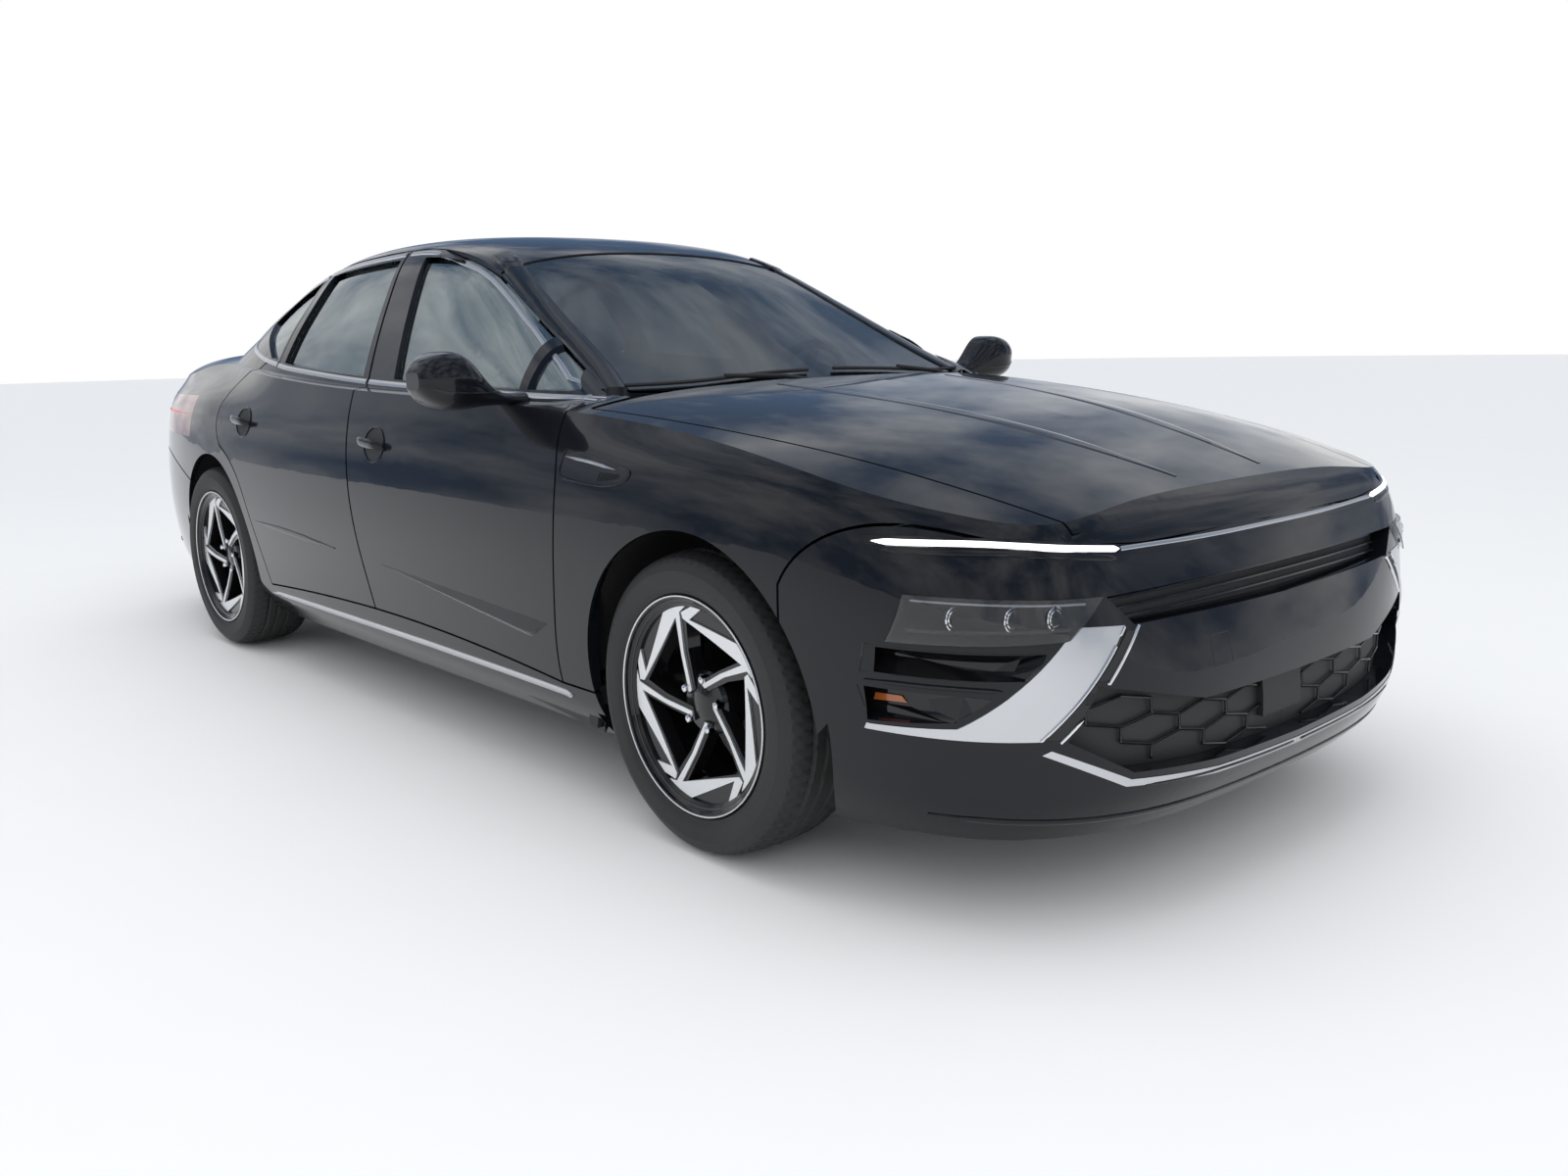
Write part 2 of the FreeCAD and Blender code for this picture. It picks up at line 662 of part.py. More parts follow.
def wall_body(low_wall, deck_wall, high_wall):
    """The body's outer form less the same form inside it, on the left."""
    key = ("wall", low_wall, deck_wall, high_wall)
    if key not in body_cache:
        inner = whole_body(low_wall, deck_wall, high_wall, height)
        body_cache[key] = whole_body(0.0, 0.0, 0.0, glass_drop).cut(inner)
    return body_cache[key]


def skin_between(outer, inner, upper=True):
    """A thin layer of the glasshouse or of the lower body, between two depths."""
    key = ("skin", outer, inner, upper)
    if key not in body_cache:
        if upper:
            layer = glasshouse(outer, glass_drop).cut(glasshouse(inner, height))
        else:
            layer = lower_body(outer, outer).cut(lower_body(inner, inner))
        body_cache[key] = layer
    return body_cache[key]


wells = ((front_axle_x, well_inner_y), (rear_axle_x, rear_well_inner_y))


def wheel_space(margin=0.0):
    """The round arch mouths and the deeper wells behind them, on the left."""
    key = ("wheel", margin)
    if key not in body_cache:
        z = axle_z + arch_rise
        parts = []
        for axle_x, well_depth_y in wells:
            parts.append(cylinder_y(axle_x, z, arch_radius + margin, well_depth_y,
                                    half_width + overrun))
            parts.append(cylinder_y(axle_x, z, well_radius + margin,
                                    well_depth_y - margin, well_outer_y))
        body_cache[key] = parts[0].multiFuse(parts[1:])
    return body_cache[key]


# Regions of the panels in the side view
def glass_region(gap):
    return resized(outline(side_place, belt_run, window_run), gap)


def above_belt():
    """All above the line of the windows' lower edges."""
    ahead = belt_run[0][0] * 3
    behind = belt_run[-1][0] * 3
    return outline(side_place, belt_run, (belt_run[-1], (behind, belt_run[-1][1])),
                   ((behind, sky_share), (ahead, sky_share)),
                   ((ahead, belt_run[0][1]), belt_run[0]))


def door_space(gap, *runs):
    """What a door fills, swept across: its zone under the belt, the window frame above."""
    zone = resized(outline(side_place, *runs), gap)
    outside = above_belt().cut(glass_region(frame_lip + gap))
    return sweep_side(max(zone.cut(outside).Faces, key=lambda f: f.Area))


def shifted(run, share):
    return tuple((a + share, b) for a, b in run)


def front_door_space(gap):
    rear = shifted(b_shut_high_run, post_shift_share)
    return door_space(gap, front_shut_high_run, front_shut_run, front_door_low_run,
                      backwards(b_shut_run), backwards(rear))


def rear_door_space(gap):
    return door_space(gap, shifted(b_shut_high_run, -post_shift_share),
                      shifted(b_shut_run, -post_shift_share),
                      rear_door_low_run, arch_shut_run, rear_shut_run, quarter_shut_run)


def pane_region(gap, *runs):
    zone = outline(side_place, *runs)
    pane = max(zone.common(glass_region(-frame_lip)).Faces, key=lambda f: f.Area)
    return resized(pane, gap)


def front_pane(gap):
    return pane_region(gap, front_bar_rear_run, backwards(front_glass_rear_run))


def corner_pane(gap):
    ahead = ((front_bar_front_run[0][0] * 2, front_bar_front_run[0][1]),
             (front_bar_front_run[0][0] * 2, front_bar_front_run[1][1]))
    return pane_region(gap, ahead, backwards(front_bar_front_run))


def rear_pane(gap):
    return pane_region(gap, rear_glass_front_run, rear_glass_rear_run)


def quarter_pane(gap):
    behind = ((quarter_shut_run[0][0] * 2, quarter_shut_run[0][1]),
              (quarter_shut_run[0][0] * 2, quarter_shut_run[1][1]))
    return pane_region(gap, behind, quarter_glass_run)


def front_end_region():
    """Everything ahead of the front doors, above the sill line."""
    ahead = (bumper_shut_run[-1][0], front_shut_high_run[0][1])
    return outline(side_place, front_shut_high_run, front_shut_run,
                   (front_shut_run[-1], (bumper_shut_run[0][0], front_shut_run[-1][1])),
                   bumper_shut_run, (ahead, front_shut_high_run[0]))


def nose_region():
    """Everything below and ahead of the line between bumper and wings."""
    first = bumper_shut_run[0]
    last = bumper_shut_run[-1]
    return outline(side_place, bumper_shut_run, (last, (last[0], 0.0)),
                   ((first[0], 0.0), first))


# Regions of the panels seen from above, whole from side to side
def whole_region(gap, *runs):
    """A top view outline over both sides, from the runs of its left half."""
    right = [tuple((a, -b) for a, b in backwards(run)) for run in reversed(runs)]
    return resized(outline(top_place, *runs, *right), gap)


def screen_region(gap):
    return whole_region(gap, screen_base_run, screen_side_run, screen_top_run)


def roof_region(gap):
    return whole_region(gap, backwards(screen_top_run), roof_side_run, roof_rear_run)


def light_region(gap):
    return whole_region(gap, backwards(roof_rear_run), light_side_run, light_base_run)


def bonnet_region(gap):
    ahead = bonnet_side_run[-1][0] * nose_reach_share
    nose = ((ahead, bonnet_side_run[-1][1]), (ahead, 0.0))
    return whole_region(gap, bonnet_rear_run, bonnet_side_run, nose)


def lid_region(gap):
    behind = lid_side_run[-1][0] * nose_reach_share
    tail = ((behind, lid_side_run[-1][1]), (behind, 0.0))
    return whole_region(gap, lid_front_run, lid_side_run, tail)


half_gap = shut_gap / 2


def biggest(shape):
    return max((oriented(s) for s in shape.Solids), key=lambda s: s.Volume)


def slab(x_low, x_high, z_low, z_high):
    """A slice of the left half between two places along the car and two heights."""
    return block(x_low, x_high, 0, half_width + overrun, z_low, z_high)


# Doors and their glass
def hinge_strap(x, z, reach, depth):
    """A door's cranked hinge strap, from its eye on the pin back into the door."""
    half = hinge_plate / 2
    low, high_z = z - hinge_half, z + hinge_half
    y_low = hinge_y - depth - half
    eye = cylinder_z(x, hinge_y, hinge_eye, low, high_z)
    inward = block(x - half, x + half, y_low, hinge_y, low, high_z)
    back = block(x - reach, x, y_low, y_low + hinge_plate, low, high_z)
    end = block(x - reach, x - reach + hinge_plate, y_low, hinge_y - hinge_seat, low, high_z)
    bore = cylinder_z(x, hinge_y, hinge_pin + hinge_bore_gap, low, high_z)
    return eye.multiFuse([inward, back, end]).cut(bore)


def hinge_bracket(x, z, reach):
    """The pin and its two ears, standing out from a plate on the post."""
    y_low = hinge_y - door_wall - post_wall / 2
    tall = hinge_half + hinge_plate + seat_gap
    ears = [block(x - reach, x + hinge_eye, y_low, y_low + hinge_root, z - tall, z + tall)]
    for base in (z - tall, z + tall - hinge_plate):
        ears.append(block(x - hinge_eye, x + hinge_eye, y_low, hinge_y + hinge_pin,
                          base, base + hinge_plate))
    return cylinder_z(x, hinge_y, hinge_pin, z - tall, z + tall).multiFuse(ears)


def door(space_of, panes):
    """The outer skin to its shut lines, and the inner wall stepped back from them."""
    solid = wall_body(door_wall, lid_wall, frame_wall).common(space_of(-half_gap))
    core = whole_body(door_skin, lid_wall, frame_skin, height)
    solid = solid.cut(core.cut(space_of(-inner_gap)))
    for face in (screen_region(shut_gap), roof_region(shut_gap)):
        solid = solid.cut(over_belt(face))
    for pane in panes:
        solid = solid.cut(sweep_side(pane(0.0)))
    return solid


def front_door():
    solid = door(front_door_space, (front_pane, corner_pane))
    corner_x, corner_y = side_x(screen_base_run[-1][0]), side_y(screen_base_run[-1][1])
    solid = solid.cut(block(corner_x - hinge_seat, length, 0, corner_y + hinge_root, 0,
                            high(belt_run[0][1]) + hinge_root))
    for z in rear_hinge_zs:
        tall = hinge_half + hinge_plate + hinge_room
        solid = solid.cut(block(rear_hinge_x - rear_strap_reach - hinge_room,
                                rear_hinge_x + 2 * hinge_room, 0,
                                hinge_y + hinge_pin + hinge_plate, z - tall, z + tall))
    straps = [hinge_strap(front_hinge_x, z, front_strap_reach, front_strap_depth)
              for z in front_hinge_zs]
    return oriented_all(biggest(solid).multiFuse(straps))


def rear_door():
    solid = door(rear_door_space, (rear_pane,))
    straps = [hinge_strap(rear_hinge_x, z, rear_strap_reach, rear_strap_depth)
              for z in rear_hinge_zs]
    return oriented_all(biggest(solid).multiFuse(straps))


def door_glass(panes):
    layer = skin_between(glass_inset, glass_inset + glass_wall)
    for face in (screen_region(half_gap), roof_region(half_gap)):
        layer = layer.cut(over_belt(face))
    solids = [biggest(layer.common(sweep_side(pane(-seat_gap)))) for pane in panes]
    return Part.makeCompound(solids)


# Body panels
def over_belt(region_face):
    return sweep_up(region_face, high(belt_run[0][1]))


def roof_panel():
    half = wall_body(door_wall, lid_wall, frame_wall).common(over_belt(roof_region(-seat_gap)))
    return joined_halves(biggest(half))


def screen(region_face):
    half = skin_between(screen_inset, screen_inset + glass_wall).common(over_belt(region_face))
    return joined_halves(biggest(half))


def bonnet():
    half = wall_body(panel_wall, lid_wall, frame_wall).common(sweep_up(bonnet_region(-half_gap)))
    keep = slab(0, length, high(bonnet_low_share) + half_gap, height)
    half = biggest(half.common(keep)).cut(bonnet_pin(hinge_bore_gap, seat_gap))
    return joined_halves(biggest(half))


def bonnet_pin(gap=0.0, end_gap=0.0):
    """The pivot across the shut line at the bonnet's rear corner."""
    return cylinder_y(bonnet_hinge_x, bonnet_hinge_z, lid_pin + gap,
                      bonnet_hinge_y - lid_pin_half - end_gap, bonnet_hinge_y + lid_pin_half)


def lid_cut(gap):
    """The boot lid's outline from above, less what lies below its lower edge."""
    column = sweep_up(lid_region(gap), high(lid_low_share) - gap)
    return column


def boot_arm():
    """The swan neck under the boot lid, round the panel's edge to its pivot."""
    half = hinge_plate / 2
    low, depth = -boot_arm_drop, boot_arm_depth
    places = ((lid_pin, lid_pin), (boot_arm_ahead + depth / 2, low + depth),
              (boot_arm_ahead + depth / 2, low), (-boot_arm_length, low), (-boot_arm_length, 0),
              (depth - boot_arm_length, 0), (depth - boot_arm_length, low + depth),
              (boot_arm_ahead - depth / 2, low + depth), (-lid_pin, -lid_pin))
    points = [Vector(boot_hinge_x + a, boot_hinge_y - half, boot_hinge_z + b) for a, b in places]
    neck = Part.Face(Part.makePolygon(points + [points[0]])).extrude(Vector(0, hinge_plate, 0))
    eye = cylinder_y(boot_hinge_x, boot_hinge_z, lid_pin + half, boot_hinge_y - half,
                     boot_hinge_y + half)
    bore = cylinder_y(boot_hinge_x, boot_hinge_z, lid_pin + hinge_bore_gap, 0, half_width)
    return eye.fuse(oriented(neck)).cut(bore)


def boot_lid():
    half = wall_body(panel_wall, lid_wall, frame_wall).common(lid_cut(-half_gap))
    core = whole_body(door_skin, door_skin, frame_skin, height)
    core = core.common(slab(-length, boot_hinge_x, 0, height))
    half = half.cut(core.cut(lid_cut(-inner_gap)))
    half = half.cut(pocket(mirror_face(lid_lamp_shares), tail_sweep, lens_wall + seat_gap))
    return joined_halves(biggest(biggest(half).fuse(boot_arm())))


def front_wings():
    wall = wall_body(door_skin, lid_wall, frame_skin)
    solid = wall.common(sweep_side(resized(front_end_region(), -half_gap)))
    solid = solid.cut(sweep_up(bonnet_region(half_gap)))
    solid = solid.cut(over_belt(screen_region(scuttle_gap)))
    solid = solid.cut(wheel_space())
    solid = solid.cut(sweep_up(scuttle_region()))
    solid = solid.cut(block(bonnet_hinge_x - bonnet_swing, bonnet_hinge_x, 0,
                            bonnet_hinge_y + seat_gap, 0, height))
    solid = biggest(solid.cut(pocket(light_bar_face(0.0), nose_sweep, trim_depth + seat_gap)))
    return both_sides(biggest(solid.fuse(bonnet_pin())))


def scuttle_region():
    """The black panel between bonnet and screen."""
    return whole_region(0.0, bonnet_rear_run[:-1], (bonnet_rear_run[-2], screen_base_run[-1]),
                        backwards(screen_base_run))


def scuttle():
    layer = lower_body(scuttle_drop, scuttle_drop).cut(
        lower_body(scuttle_drop + floor_wall, scuttle_drop + floor_wall))
    half = layer.common(sweep_up(scuttle_region()))
    return joined_halves(biggest(half))


def rear_bumper_region(gap):
    """Behind the rear wheels, below the lamps."""
    return resized(outline(side_place, rear_bumper_shut_run,
                           ((rear_bumper_shut_run[-1][0], 0.0), (rear_bumper_shut_run[0][0], 0.0))
                           ), gap)


def rear_bumper():
    wall = wall_body(bumper_wall, lid_wall, frame_wall)
    solid = wall.common(sweep_side(rear_bumper_region(-half_gap)))
    solid = solid.cut(wheel_space())
    solid = solid.common(slab(-length, 0, high(flank_low_share) + floor_gap, height))
    return joined_halves(biggest(solid))


def body_side():
    """One side of the shell: pillars, roof rail, sill, rear wing and tail corner."""
    wall = wall_body(door_wall, lid_wall, side_frame_wall)
    low = high(flank_low_share) + floor_gap
    sill_z = high(front_door_low_run[0][1]) - half_gap
    shell = wall.cut(sweep_side(resized(front_end_region(), half_gap)))
    shell = shell.cut(slab(side_x(front_shut_high_run[0][0]), length, sill_z, height))
    shell = shell.cut(slab(front_axle_x, length, 0, height))
    for space_of in (front_door_space, rear_door_space):
        shell = shell.cut(space_of(half_gap))
    shell = shell.cut(sweep_side(quarter_pane(0.0)))
    for face in (screen_region(0.0), roof_region(0.0), light_region(0.0)):
        shell = shell.cut(over_belt(face))
    shell = shell.cut(lid_cut(half_gap))
    shell = shell.cut(sweep_side(rear_bumper_region(half_gap)))
    shell = shell.cut(pocket(face_of(tail_lamp_shares), tail_sweep, tail_lamp_depth))
    shell = biggest(shell.common(slab(-length, length, low, height)).cut(wheel_space()))
    pieces = [middle_post(), front_post(), rocker()]
    pieces += [hinge_bracket(front_hinge_x, z, hinge_eye) for z in front_hinge_zs]
    pieces += [hinge_bracket(rear_hinge_x, z, rear_root_reach) for z in rear_hinge_zs]
    return biggest(shell.multiFuse(pieces))


def rocker():
    """The box of the sill, on the floor's edge and under the doors."""
    ring = lower_body(door_skin, door_skin).cut(lower_body(door_wall + post_wall, door_wall))
    low = high(flank_low_share) + floor_gap + floor_wall + seat_gap
    top = high(front_door_low_run[0][1]) - shut_gap
    form = ring.common(slab(rear_axle_x, post_rear_x, low, top))
    return biggest(form.cut(wheel_space()))


def front_post():
    """The post ahead of the front door, behind the wing."""
    low = high(front_door_low_run[0][1]) - hinge_room
    outer = lower_body(door_wall + seal_gap, door_wall)
    inner = lower_body(door_wall + post_wall, door_wall)
    near = outer.cut(inner).common(slab(post_front_x, post_rear_x, low, post_high_z))
    skin = lower_body(door_skin + seat_gap, lid_wall + seat_gap).cut(inner)
    far = skin.common(slab(front_hinge_x + hinge_eye + hinge_room, post_rear_x,
                           low + hinge_room + hinge_eye, post_high_z))
    return oriented_all(biggest(near).fuse(biggest(far)).cut(wheel_space()))


def middle_post():
    """The post behind the gap between the doors, from sill to roof rail."""
    outer = whole_body(door_wall + seal_gap, door_wall, frame_wall + seal_gap, glass_drop)
    inner = whole_body(door_wall + post_wall, door_wall, frame_wall + post_wall, height)
    span = slab(0 - overrun, overrun, 0, height)
    edge = [(a - post_half_share, b) for a, b in b_shut_high_run + b_shut_run[1:]]
    other = [(a + post_half_share, b) for a, b in b_shut_high_run + b_shut_run[1:]]
    foot_share = front_door_low_run[0][1] * post_foot_share
    foot = [(edge[-1][0], foot_share), (other[-1][0], foot_share)]
    corners = [side_place(a, b) for a, b in edge + foot + other[::-1]]
    face = Part.Face(Part.makePolygon(corners + [corners[0]]))
    post = outer.common(span).cut(inner).common(sweep_side(face))
    tall = hinge_half + hinge_plate
    floor_y = hinge_y - door_wall - post_wall / 2 + hinge_root
    for z in rear_hinge_zs:
        post = post.cut(block(0 - length, rear_hinge_x + hinge_eye, floor_y, half_width,
                              z - tall, z + tall))
    return biggest(post)


# Wheels
def ring_y(profile, x, y, z):
    """A turned piece about a cross axis, from (distance outwards, radius) places."""
    points = [Vector(x, y + a, z + r) for a, r in profile]
    face = Part.Face(Part.makePolygon(points + [points[0]]))
    return oriented(face.revolve(Vector(x, y, z), Vector(0, 1, 0), 360))


def tyre(x):
    """A low tyre: a flat tread between side walls that bulge over the rim's flanges."""
    half = tyre_width / 2
    flange = half - rim_lip - rim_wall - bead_gap
    right = ((half * tyre_tread_share, tyre_radius),
             (half, (tyre_radius + rim_flange_radius) / 2),
             (flange, rim_flange_radius + bead_gap),
             (flange - rim_wall / 2, rim_seat_radius + bead_gap))
    left = tuple((-a, r) for a, r in backwards(right))
    return faceted_ring(right + left, x, wheel_centre_y, axle_z)


def faceted_ring(run, x, y, z):
    """A ring about a line across the car, its rounds in flat faces with a corner straight down."""
    turns = [2 * math.pi * step / tyre_steps for step in range(tyre_steps)]
    rounds = [[Vector(x + r * math.sin(turn), y + a, z - r * math.cos(turn)) for turn in turns]
              for a, r in run]
    faces = []
    for first, second in zip(rounds, rounds[1:] + rounds[:1]):
        for step in range(tyre_steps):
            corners = [first[step - 1], first[step], second[step], second[step - 1]]
            faces.append(Part.Face(Part.makePolygon(corners + corners[:1])))
    return oriented_all(Part.makeSolid(Part.makeShell(faces)))


def rim(x):
    half = tyre_width / 2 - rim_lip
    y = wheel_centre_y
    low = rim_seat_radius
    barrel = ring_y((
        (-half, rim_flange_radius), (-half + rim_wall, rim_flange_radius), (-half + rim_wall * 1.5, low),
        (-half * 0.45, low), (-half * 0.3, low - rim_well), (half * 0.35, low - rim_well),
        (half * 0.5, low), (half - rim_wall * 1.5, low), (half - rim_wall, rim_flange_radius),
        (half, rim_flange_radius), (half, rim_flange_radius - rim_wall),
        (half - rim_wall, low - rim_wall), (half * 0.45, low - rim_wall * 1.2),
        (half * 0.3, low - rim_well - rim_wall), (-half * 0.3, low - rim_well - rim_wall),
        (-half * 0.5, low - rim_wall), (-half, rim_flange_radius - rim_wall),
    ), x, y, axle_z)
    face_y = half - rim_face_inset
    hub = ring_y(((face_y - hub_depth, 0), (face_y - rim_dish, 0),
                  (face_y - rim_dish, hub_radius * 0.6), (face_y - rim_dish, hub_radius),
                  (face_y - hub_depth, hub_radius)), x, y, axle_z)
    spokes = [barrel, hub]
    for i in range(spoke_count):
        spokes.append(spoke(x, y + face_y, i * 360.0 / spoke_count))
    return oriented_all(spokes[0].multiFuse(spokes[1:]))


def spoke(x, face_y, turn):
    reach = rim_seat_radius - rim_wall / 2
    half_root = hub_radius * 0.55
    half_tip = hub_radius * 0.62
    places = ((-half_root, hub_radius * 0.3), (half_root, hub_radius * 0.3), (half_tip, reach),
              (-half_tip, reach))
    points = [Vector(x + a, face_y - rim_dish, axle_z + r) for a, r in places]
    points_out = [Vector(x + a, face_y - (rim_dish if r < hub_radius else 0), axle_z + r)
                  for a, r in places]
    top = Part.Face(Part.makePolygon(points_out + [points_out[0]]))
    solid = oriented(top.extrude(Vector(0, -spoke_depth, 0)))
    solid.rotate(Vector(x, face_y, axle_z), Vector(0, 1, 0), turn)
    return solid


def brake(x):
    """The brake disc's bell and disc, on the wheel side of the knuckle."""
    y = wheel_centre_y
    face_y = tyre_width / 2 - rim_lip - rim_face_inset - hub_depth
    return ring_y(((face_y - disc_gap - disc_wall, 0), (face_y, 0), (face_y, hub_radius * 0.9),
                   (face_y - disc_gap, hub_radius * 0.9), (face_y - disc_gap, disc_radius),
                   (face_y - disc_gap - disc_wall, disc_radius)), x, y, axle_z)


def wheel(x):
    return oriented_all(rim(x).fuse(brake(x)))


def knuckle():
    """The upright that turns about its kingpin and carries the front hub."""
    y = wheel_centre_y + tyre_width / 2 - rim_lip - rim_face_inset - hub_depth - disc_gap - disc_wall
    outer = y - brake_gap
    stub = cylinder_y(front_axle_x, axle_z, hub_carrier_radius, kingpin_y - knuckle_radius, outer)
    post = cylinder_z(front_axle_x, kingpin_y, knuckle_radius, axle_z - knuckle_height * 0.4,
                      axle_z + knuckle_height * 0.6)
    socket = cylinder_z(front_axle_x, kingpin_y, kingpin_radius + hinge_bore_gap, 0,
                        axle_z - knuckle_height * 0.4 + subframe_wall)
    return oriented_all(stub.fuse(post).cut(socket))


# Running gear fixed to the body
def front_subframe():
    """The cross member and the lower arms that reach out to the knuckles."""
    half = kingpin_y - knuckle_radius
    z_low = axle_z - knuckle_height * 0.4 - arm_wall - seat_gap
    cross = block(front_axle_x - subframe_length / 2, front_axle_x + subframe_length / 2, 0,
                  subframe_half, z_low, z_low + subframe_wall)
    arm = outline_block(((front_axle_x - subframe_length / 2, subframe_half - arm_wall),
                         (front_axle_x + subframe_length / 2, subframe_half - arm_wall),
                         (front_axle_x + knuckle_radius, kingpin_y + knuckle_radius / 2),
                         (front_axle_x - knuckle_radius, kingpin_y + knuckle_radius / 2)),
                        z_low, arm_wall)
    leg_y = subframe_half * 0.75, subframe_half * 0.9
    leg = block(post_rear_x + seat_gap, front_axle_x, *leg_y, z_low, z_low + subframe_wall)
    mount = block(front_axle_x - arm_wall, front_axle_x + arm_wall, *leg_y, z_low,
                  engine_low_z - seat_gap)
    pin = cylinder_z(front_axle_x, kingpin_y, kingpin_radius, z_low, z_low + subframe_wall)
    return joined_halves(oriented_all(cross.multiFuse([arm, leg, mount, pin])))


def outline_block(places, z_low, wall):
    points = [Vector(a, b, z_low) for a, b in places]
    face = Part.Face(Part.makePolygon(points + [points[0]]))
    return oriented(face.extrude(Vector(0, 0, wall)))


def rear_axle():
    """The rear cross member, links and hub carriers."""
    y = wheel_centre_y + tyre_width / 2 - rim_lip - rim_face_inset - hub_depth - disc_gap - disc_wall
    carrier = cylinder_y(rear_axle_x, axle_z, hub_carrier_radius, subframe_half, y - brake_gap)
    beam = block(rear_axle_x - subframe_length / 2, rear_axle_x + subframe_length / 2, 0,
                 subframe_half, axle_z - hub_carrier_radius, axle_z + hub_carrier_radius)
    low = high(flank_low_share) + floor_gap + floor_wall + seat_gap
    foot = block(rear_axle_x, rear_axle_x + arm_wall * 2, subframe_half * 0.75,
                 subframe_half * 0.9, low, axle_z)
    return joined_halves(oriented_all(beam.multiFuse([carrier, foot])))


def engine():
    return block(front_axle_x - engine_length * 0.55, front_axle_x + engine_length * 0.45,
                 -engine_half, engine_half, engine_low_z, engine_low_z + engine_height)


def floor_pan():
    """The flat floor from the firewall to the tail, cut round the wheels, with jacking pads."""
    low = high(flank_low_share) + floor_gap
    form = flank_solid(door_wall + seat_gap).common(slab(-length, post_rear_x, low,
                                                         low + floor_wall))
    pan = joined_halves(biggest(form.cut(wheel_space())))
    pads = [block(x - jack_half, x + jack_half, y - jack_half, y + jack_half, low - jack_drop, low)
            for x in jack_xs for y in (-jack_y, jack_y)]
    return oriented_all(pan.multiFuse(pads))


def arch_liners():
    """Thin shells round the wheel wells, open towards the wheels."""
    solids = []
    room = lower_body(liner_room, liner_room)
    radius = well_radius - seat_gap
    for axle_x, well_depth_y in wells:
        z = axle_z + arch_rise
        tube = cylinder_y(axle_x, z, radius, well_depth_y, well_outer_y - seat_gap)
        inner = cylinder_y(axle_x, z, radius - liner_wall, well_depth_y + liner_wall,
                           half_width)
        upper = slab(-length, length, axle_z, height)
        hole = cylinder_y(axle_x, axle_z, carrier_hole_radius, 0, half_width)
        solids.append(tube.cut(inner).common(upper).common(room).cut(hole))
    lamp = pocket(face_of(lamp_shares), nose_sweep, lamp_depth)
    return both_sides(Part.makeCompound([biggest(s.cut(lamp)) for s in solids]))


# Cabin
def dashboard():
    form = whole_body(door_wall + trim_gap, door_wall, side_frame_wall + trim_gap, height)
    box = slab(dash_rear_x, firewall_x - shelf_wall - seat_gap, dash_low_z, dash_high_z)
    well = sweep_up(resized(scuttle_region(), hinge_plate), dash_high_z - scuttle_room)
    whole = joined_halves(biggest(form.common(box).cut(well)))
    return biggest(whole.cut(steering_part(steering_tunnel())))


def pad(x, y, z, size_x, size_y, size_z, round_radius):
    box = Part.makeBox(size_x, size_y, size_z, Vector(x, y - size_y / 2, z))
    return box.makeFillet(round_radius, box.Edges)


def seat(x, y, z, wide, rests):
    """A cushion, a leaning back and its head rests, joined into one seat."""
    cushion = pad(x, y, z, seat_length, wide, seat_pad, seat_pad * 0.35)
    back = pad(x - seat_back_wall * 0.6, y, z + seat_pad * 0.3, seat_back_wall, wide * 0.96,
               seat_back_height, seat_back_wall * 0.4)
    pieces = [back]
    for rest_y in rests:
        pieces.append(pad(x - seat_back_wall * 0.9, y + rest_y, z + seat_back_height,
                          head_rest_wall, head_rest_width, head_rest_height,
                          head_rest_wall * 0.4))
    upper = pieces[0].multiFuse(pieces[1:])
    upper.rotate(Vector(x, y, z + seat_pad * 0.5), Vector(0, 1, 0), -seat_back_tilt_deg)
    return oriented_all(cushion.fuse(upper))


def plinth(x, y, z, wide):
    """What a seat stands on, from the floor to its cushion."""
    low = high(flank_low_share) + floor_gap + floor_wall + seat_gap
    return block(x + seat_pad, x + seat_length - seat_pad, y - wide / 2, y + wide / 2, low,
                 z + seat_pad / 2)


def front_seats():
    solid = seat(front_seat_x, front_seat_y, front_seat_z, seat_width, (0.0,))
    foot = plinth(front_seat_x, front_seat_y, front_seat_z, seat_width * 0.7)
    return both_sides(oriented_all(solid.fuse(foot)))


def rear_seat():
    solid = seat(rear_seat_x, 0.0, rear_seat_z, rear_seat_width, (-rear_rest_y, rear_rest_y))
    foot = plinth(rear_seat_x, 0.0, rear_seat_z, rear_seat_width * 0.9)
    return oriented_all(solid.fuse(foot))


def steering_part(shape):
    """Moves a piece made about the column's axis to its place in the car."""
    shape.rotate(Vector(0, 0, 0), Vector(0, 0, 1), 90)
    shape.rotate(Vector(0, 0, 0), Vector(0, 1, 0), steer_tilt_deg - 90)
    shape.translate(Vector(steer_x, front_seat_y, steer_z))
    return shape


def steering_tunnel():
    """Room for the column through the dashboard."""
    return Part.makeCylinder(steer_rim_radius * 1.6 + steer_column_gap, steer_column_length * 1.2,
                             Vector(0, 0, -steer_column_length * 1.2))


def steering_wheel():
    rim_ring = Part.makeTorus(steer_wheel_radius, steer_rim_radius)
    boss = Part.makeCylinder(steer_wheel_radius * 0.32, steer_boss_depth,
                             Vector(0, 0, -steer_boss_depth / 2))
    pieces = [boss]
    for turn in (0, 180, 270):
        bar = Part.makeBox(steer_wheel_radius, steer_rim_radius * 2, steer_rim_radius,
                           Vector(0, -steer_rim_radius, -steer_rim_radius / 2))
        bar.rotate(Vector(0, 0, 0), Vector(0, 0, 1), turn)
        pieces.append(bar)
    column = Part.makeCylinder(steer_rim_radius * 1.6, steer_column_length,
                               Vector(0, 0, -steer_column_length))
    return oriented_all(steering_part(rim_ring.multiFuse(pieces + [column])))


# Inlays on the nose and tail
def face_of(shares):
    points = [front_place(a, b) for a, b in shares]
    return Part.Face(Part.makePolygon(points + [points[0]]))


def nose_sweep(face):
    return sweep_front(face, half_length - nose_reach, half_length + overrun)


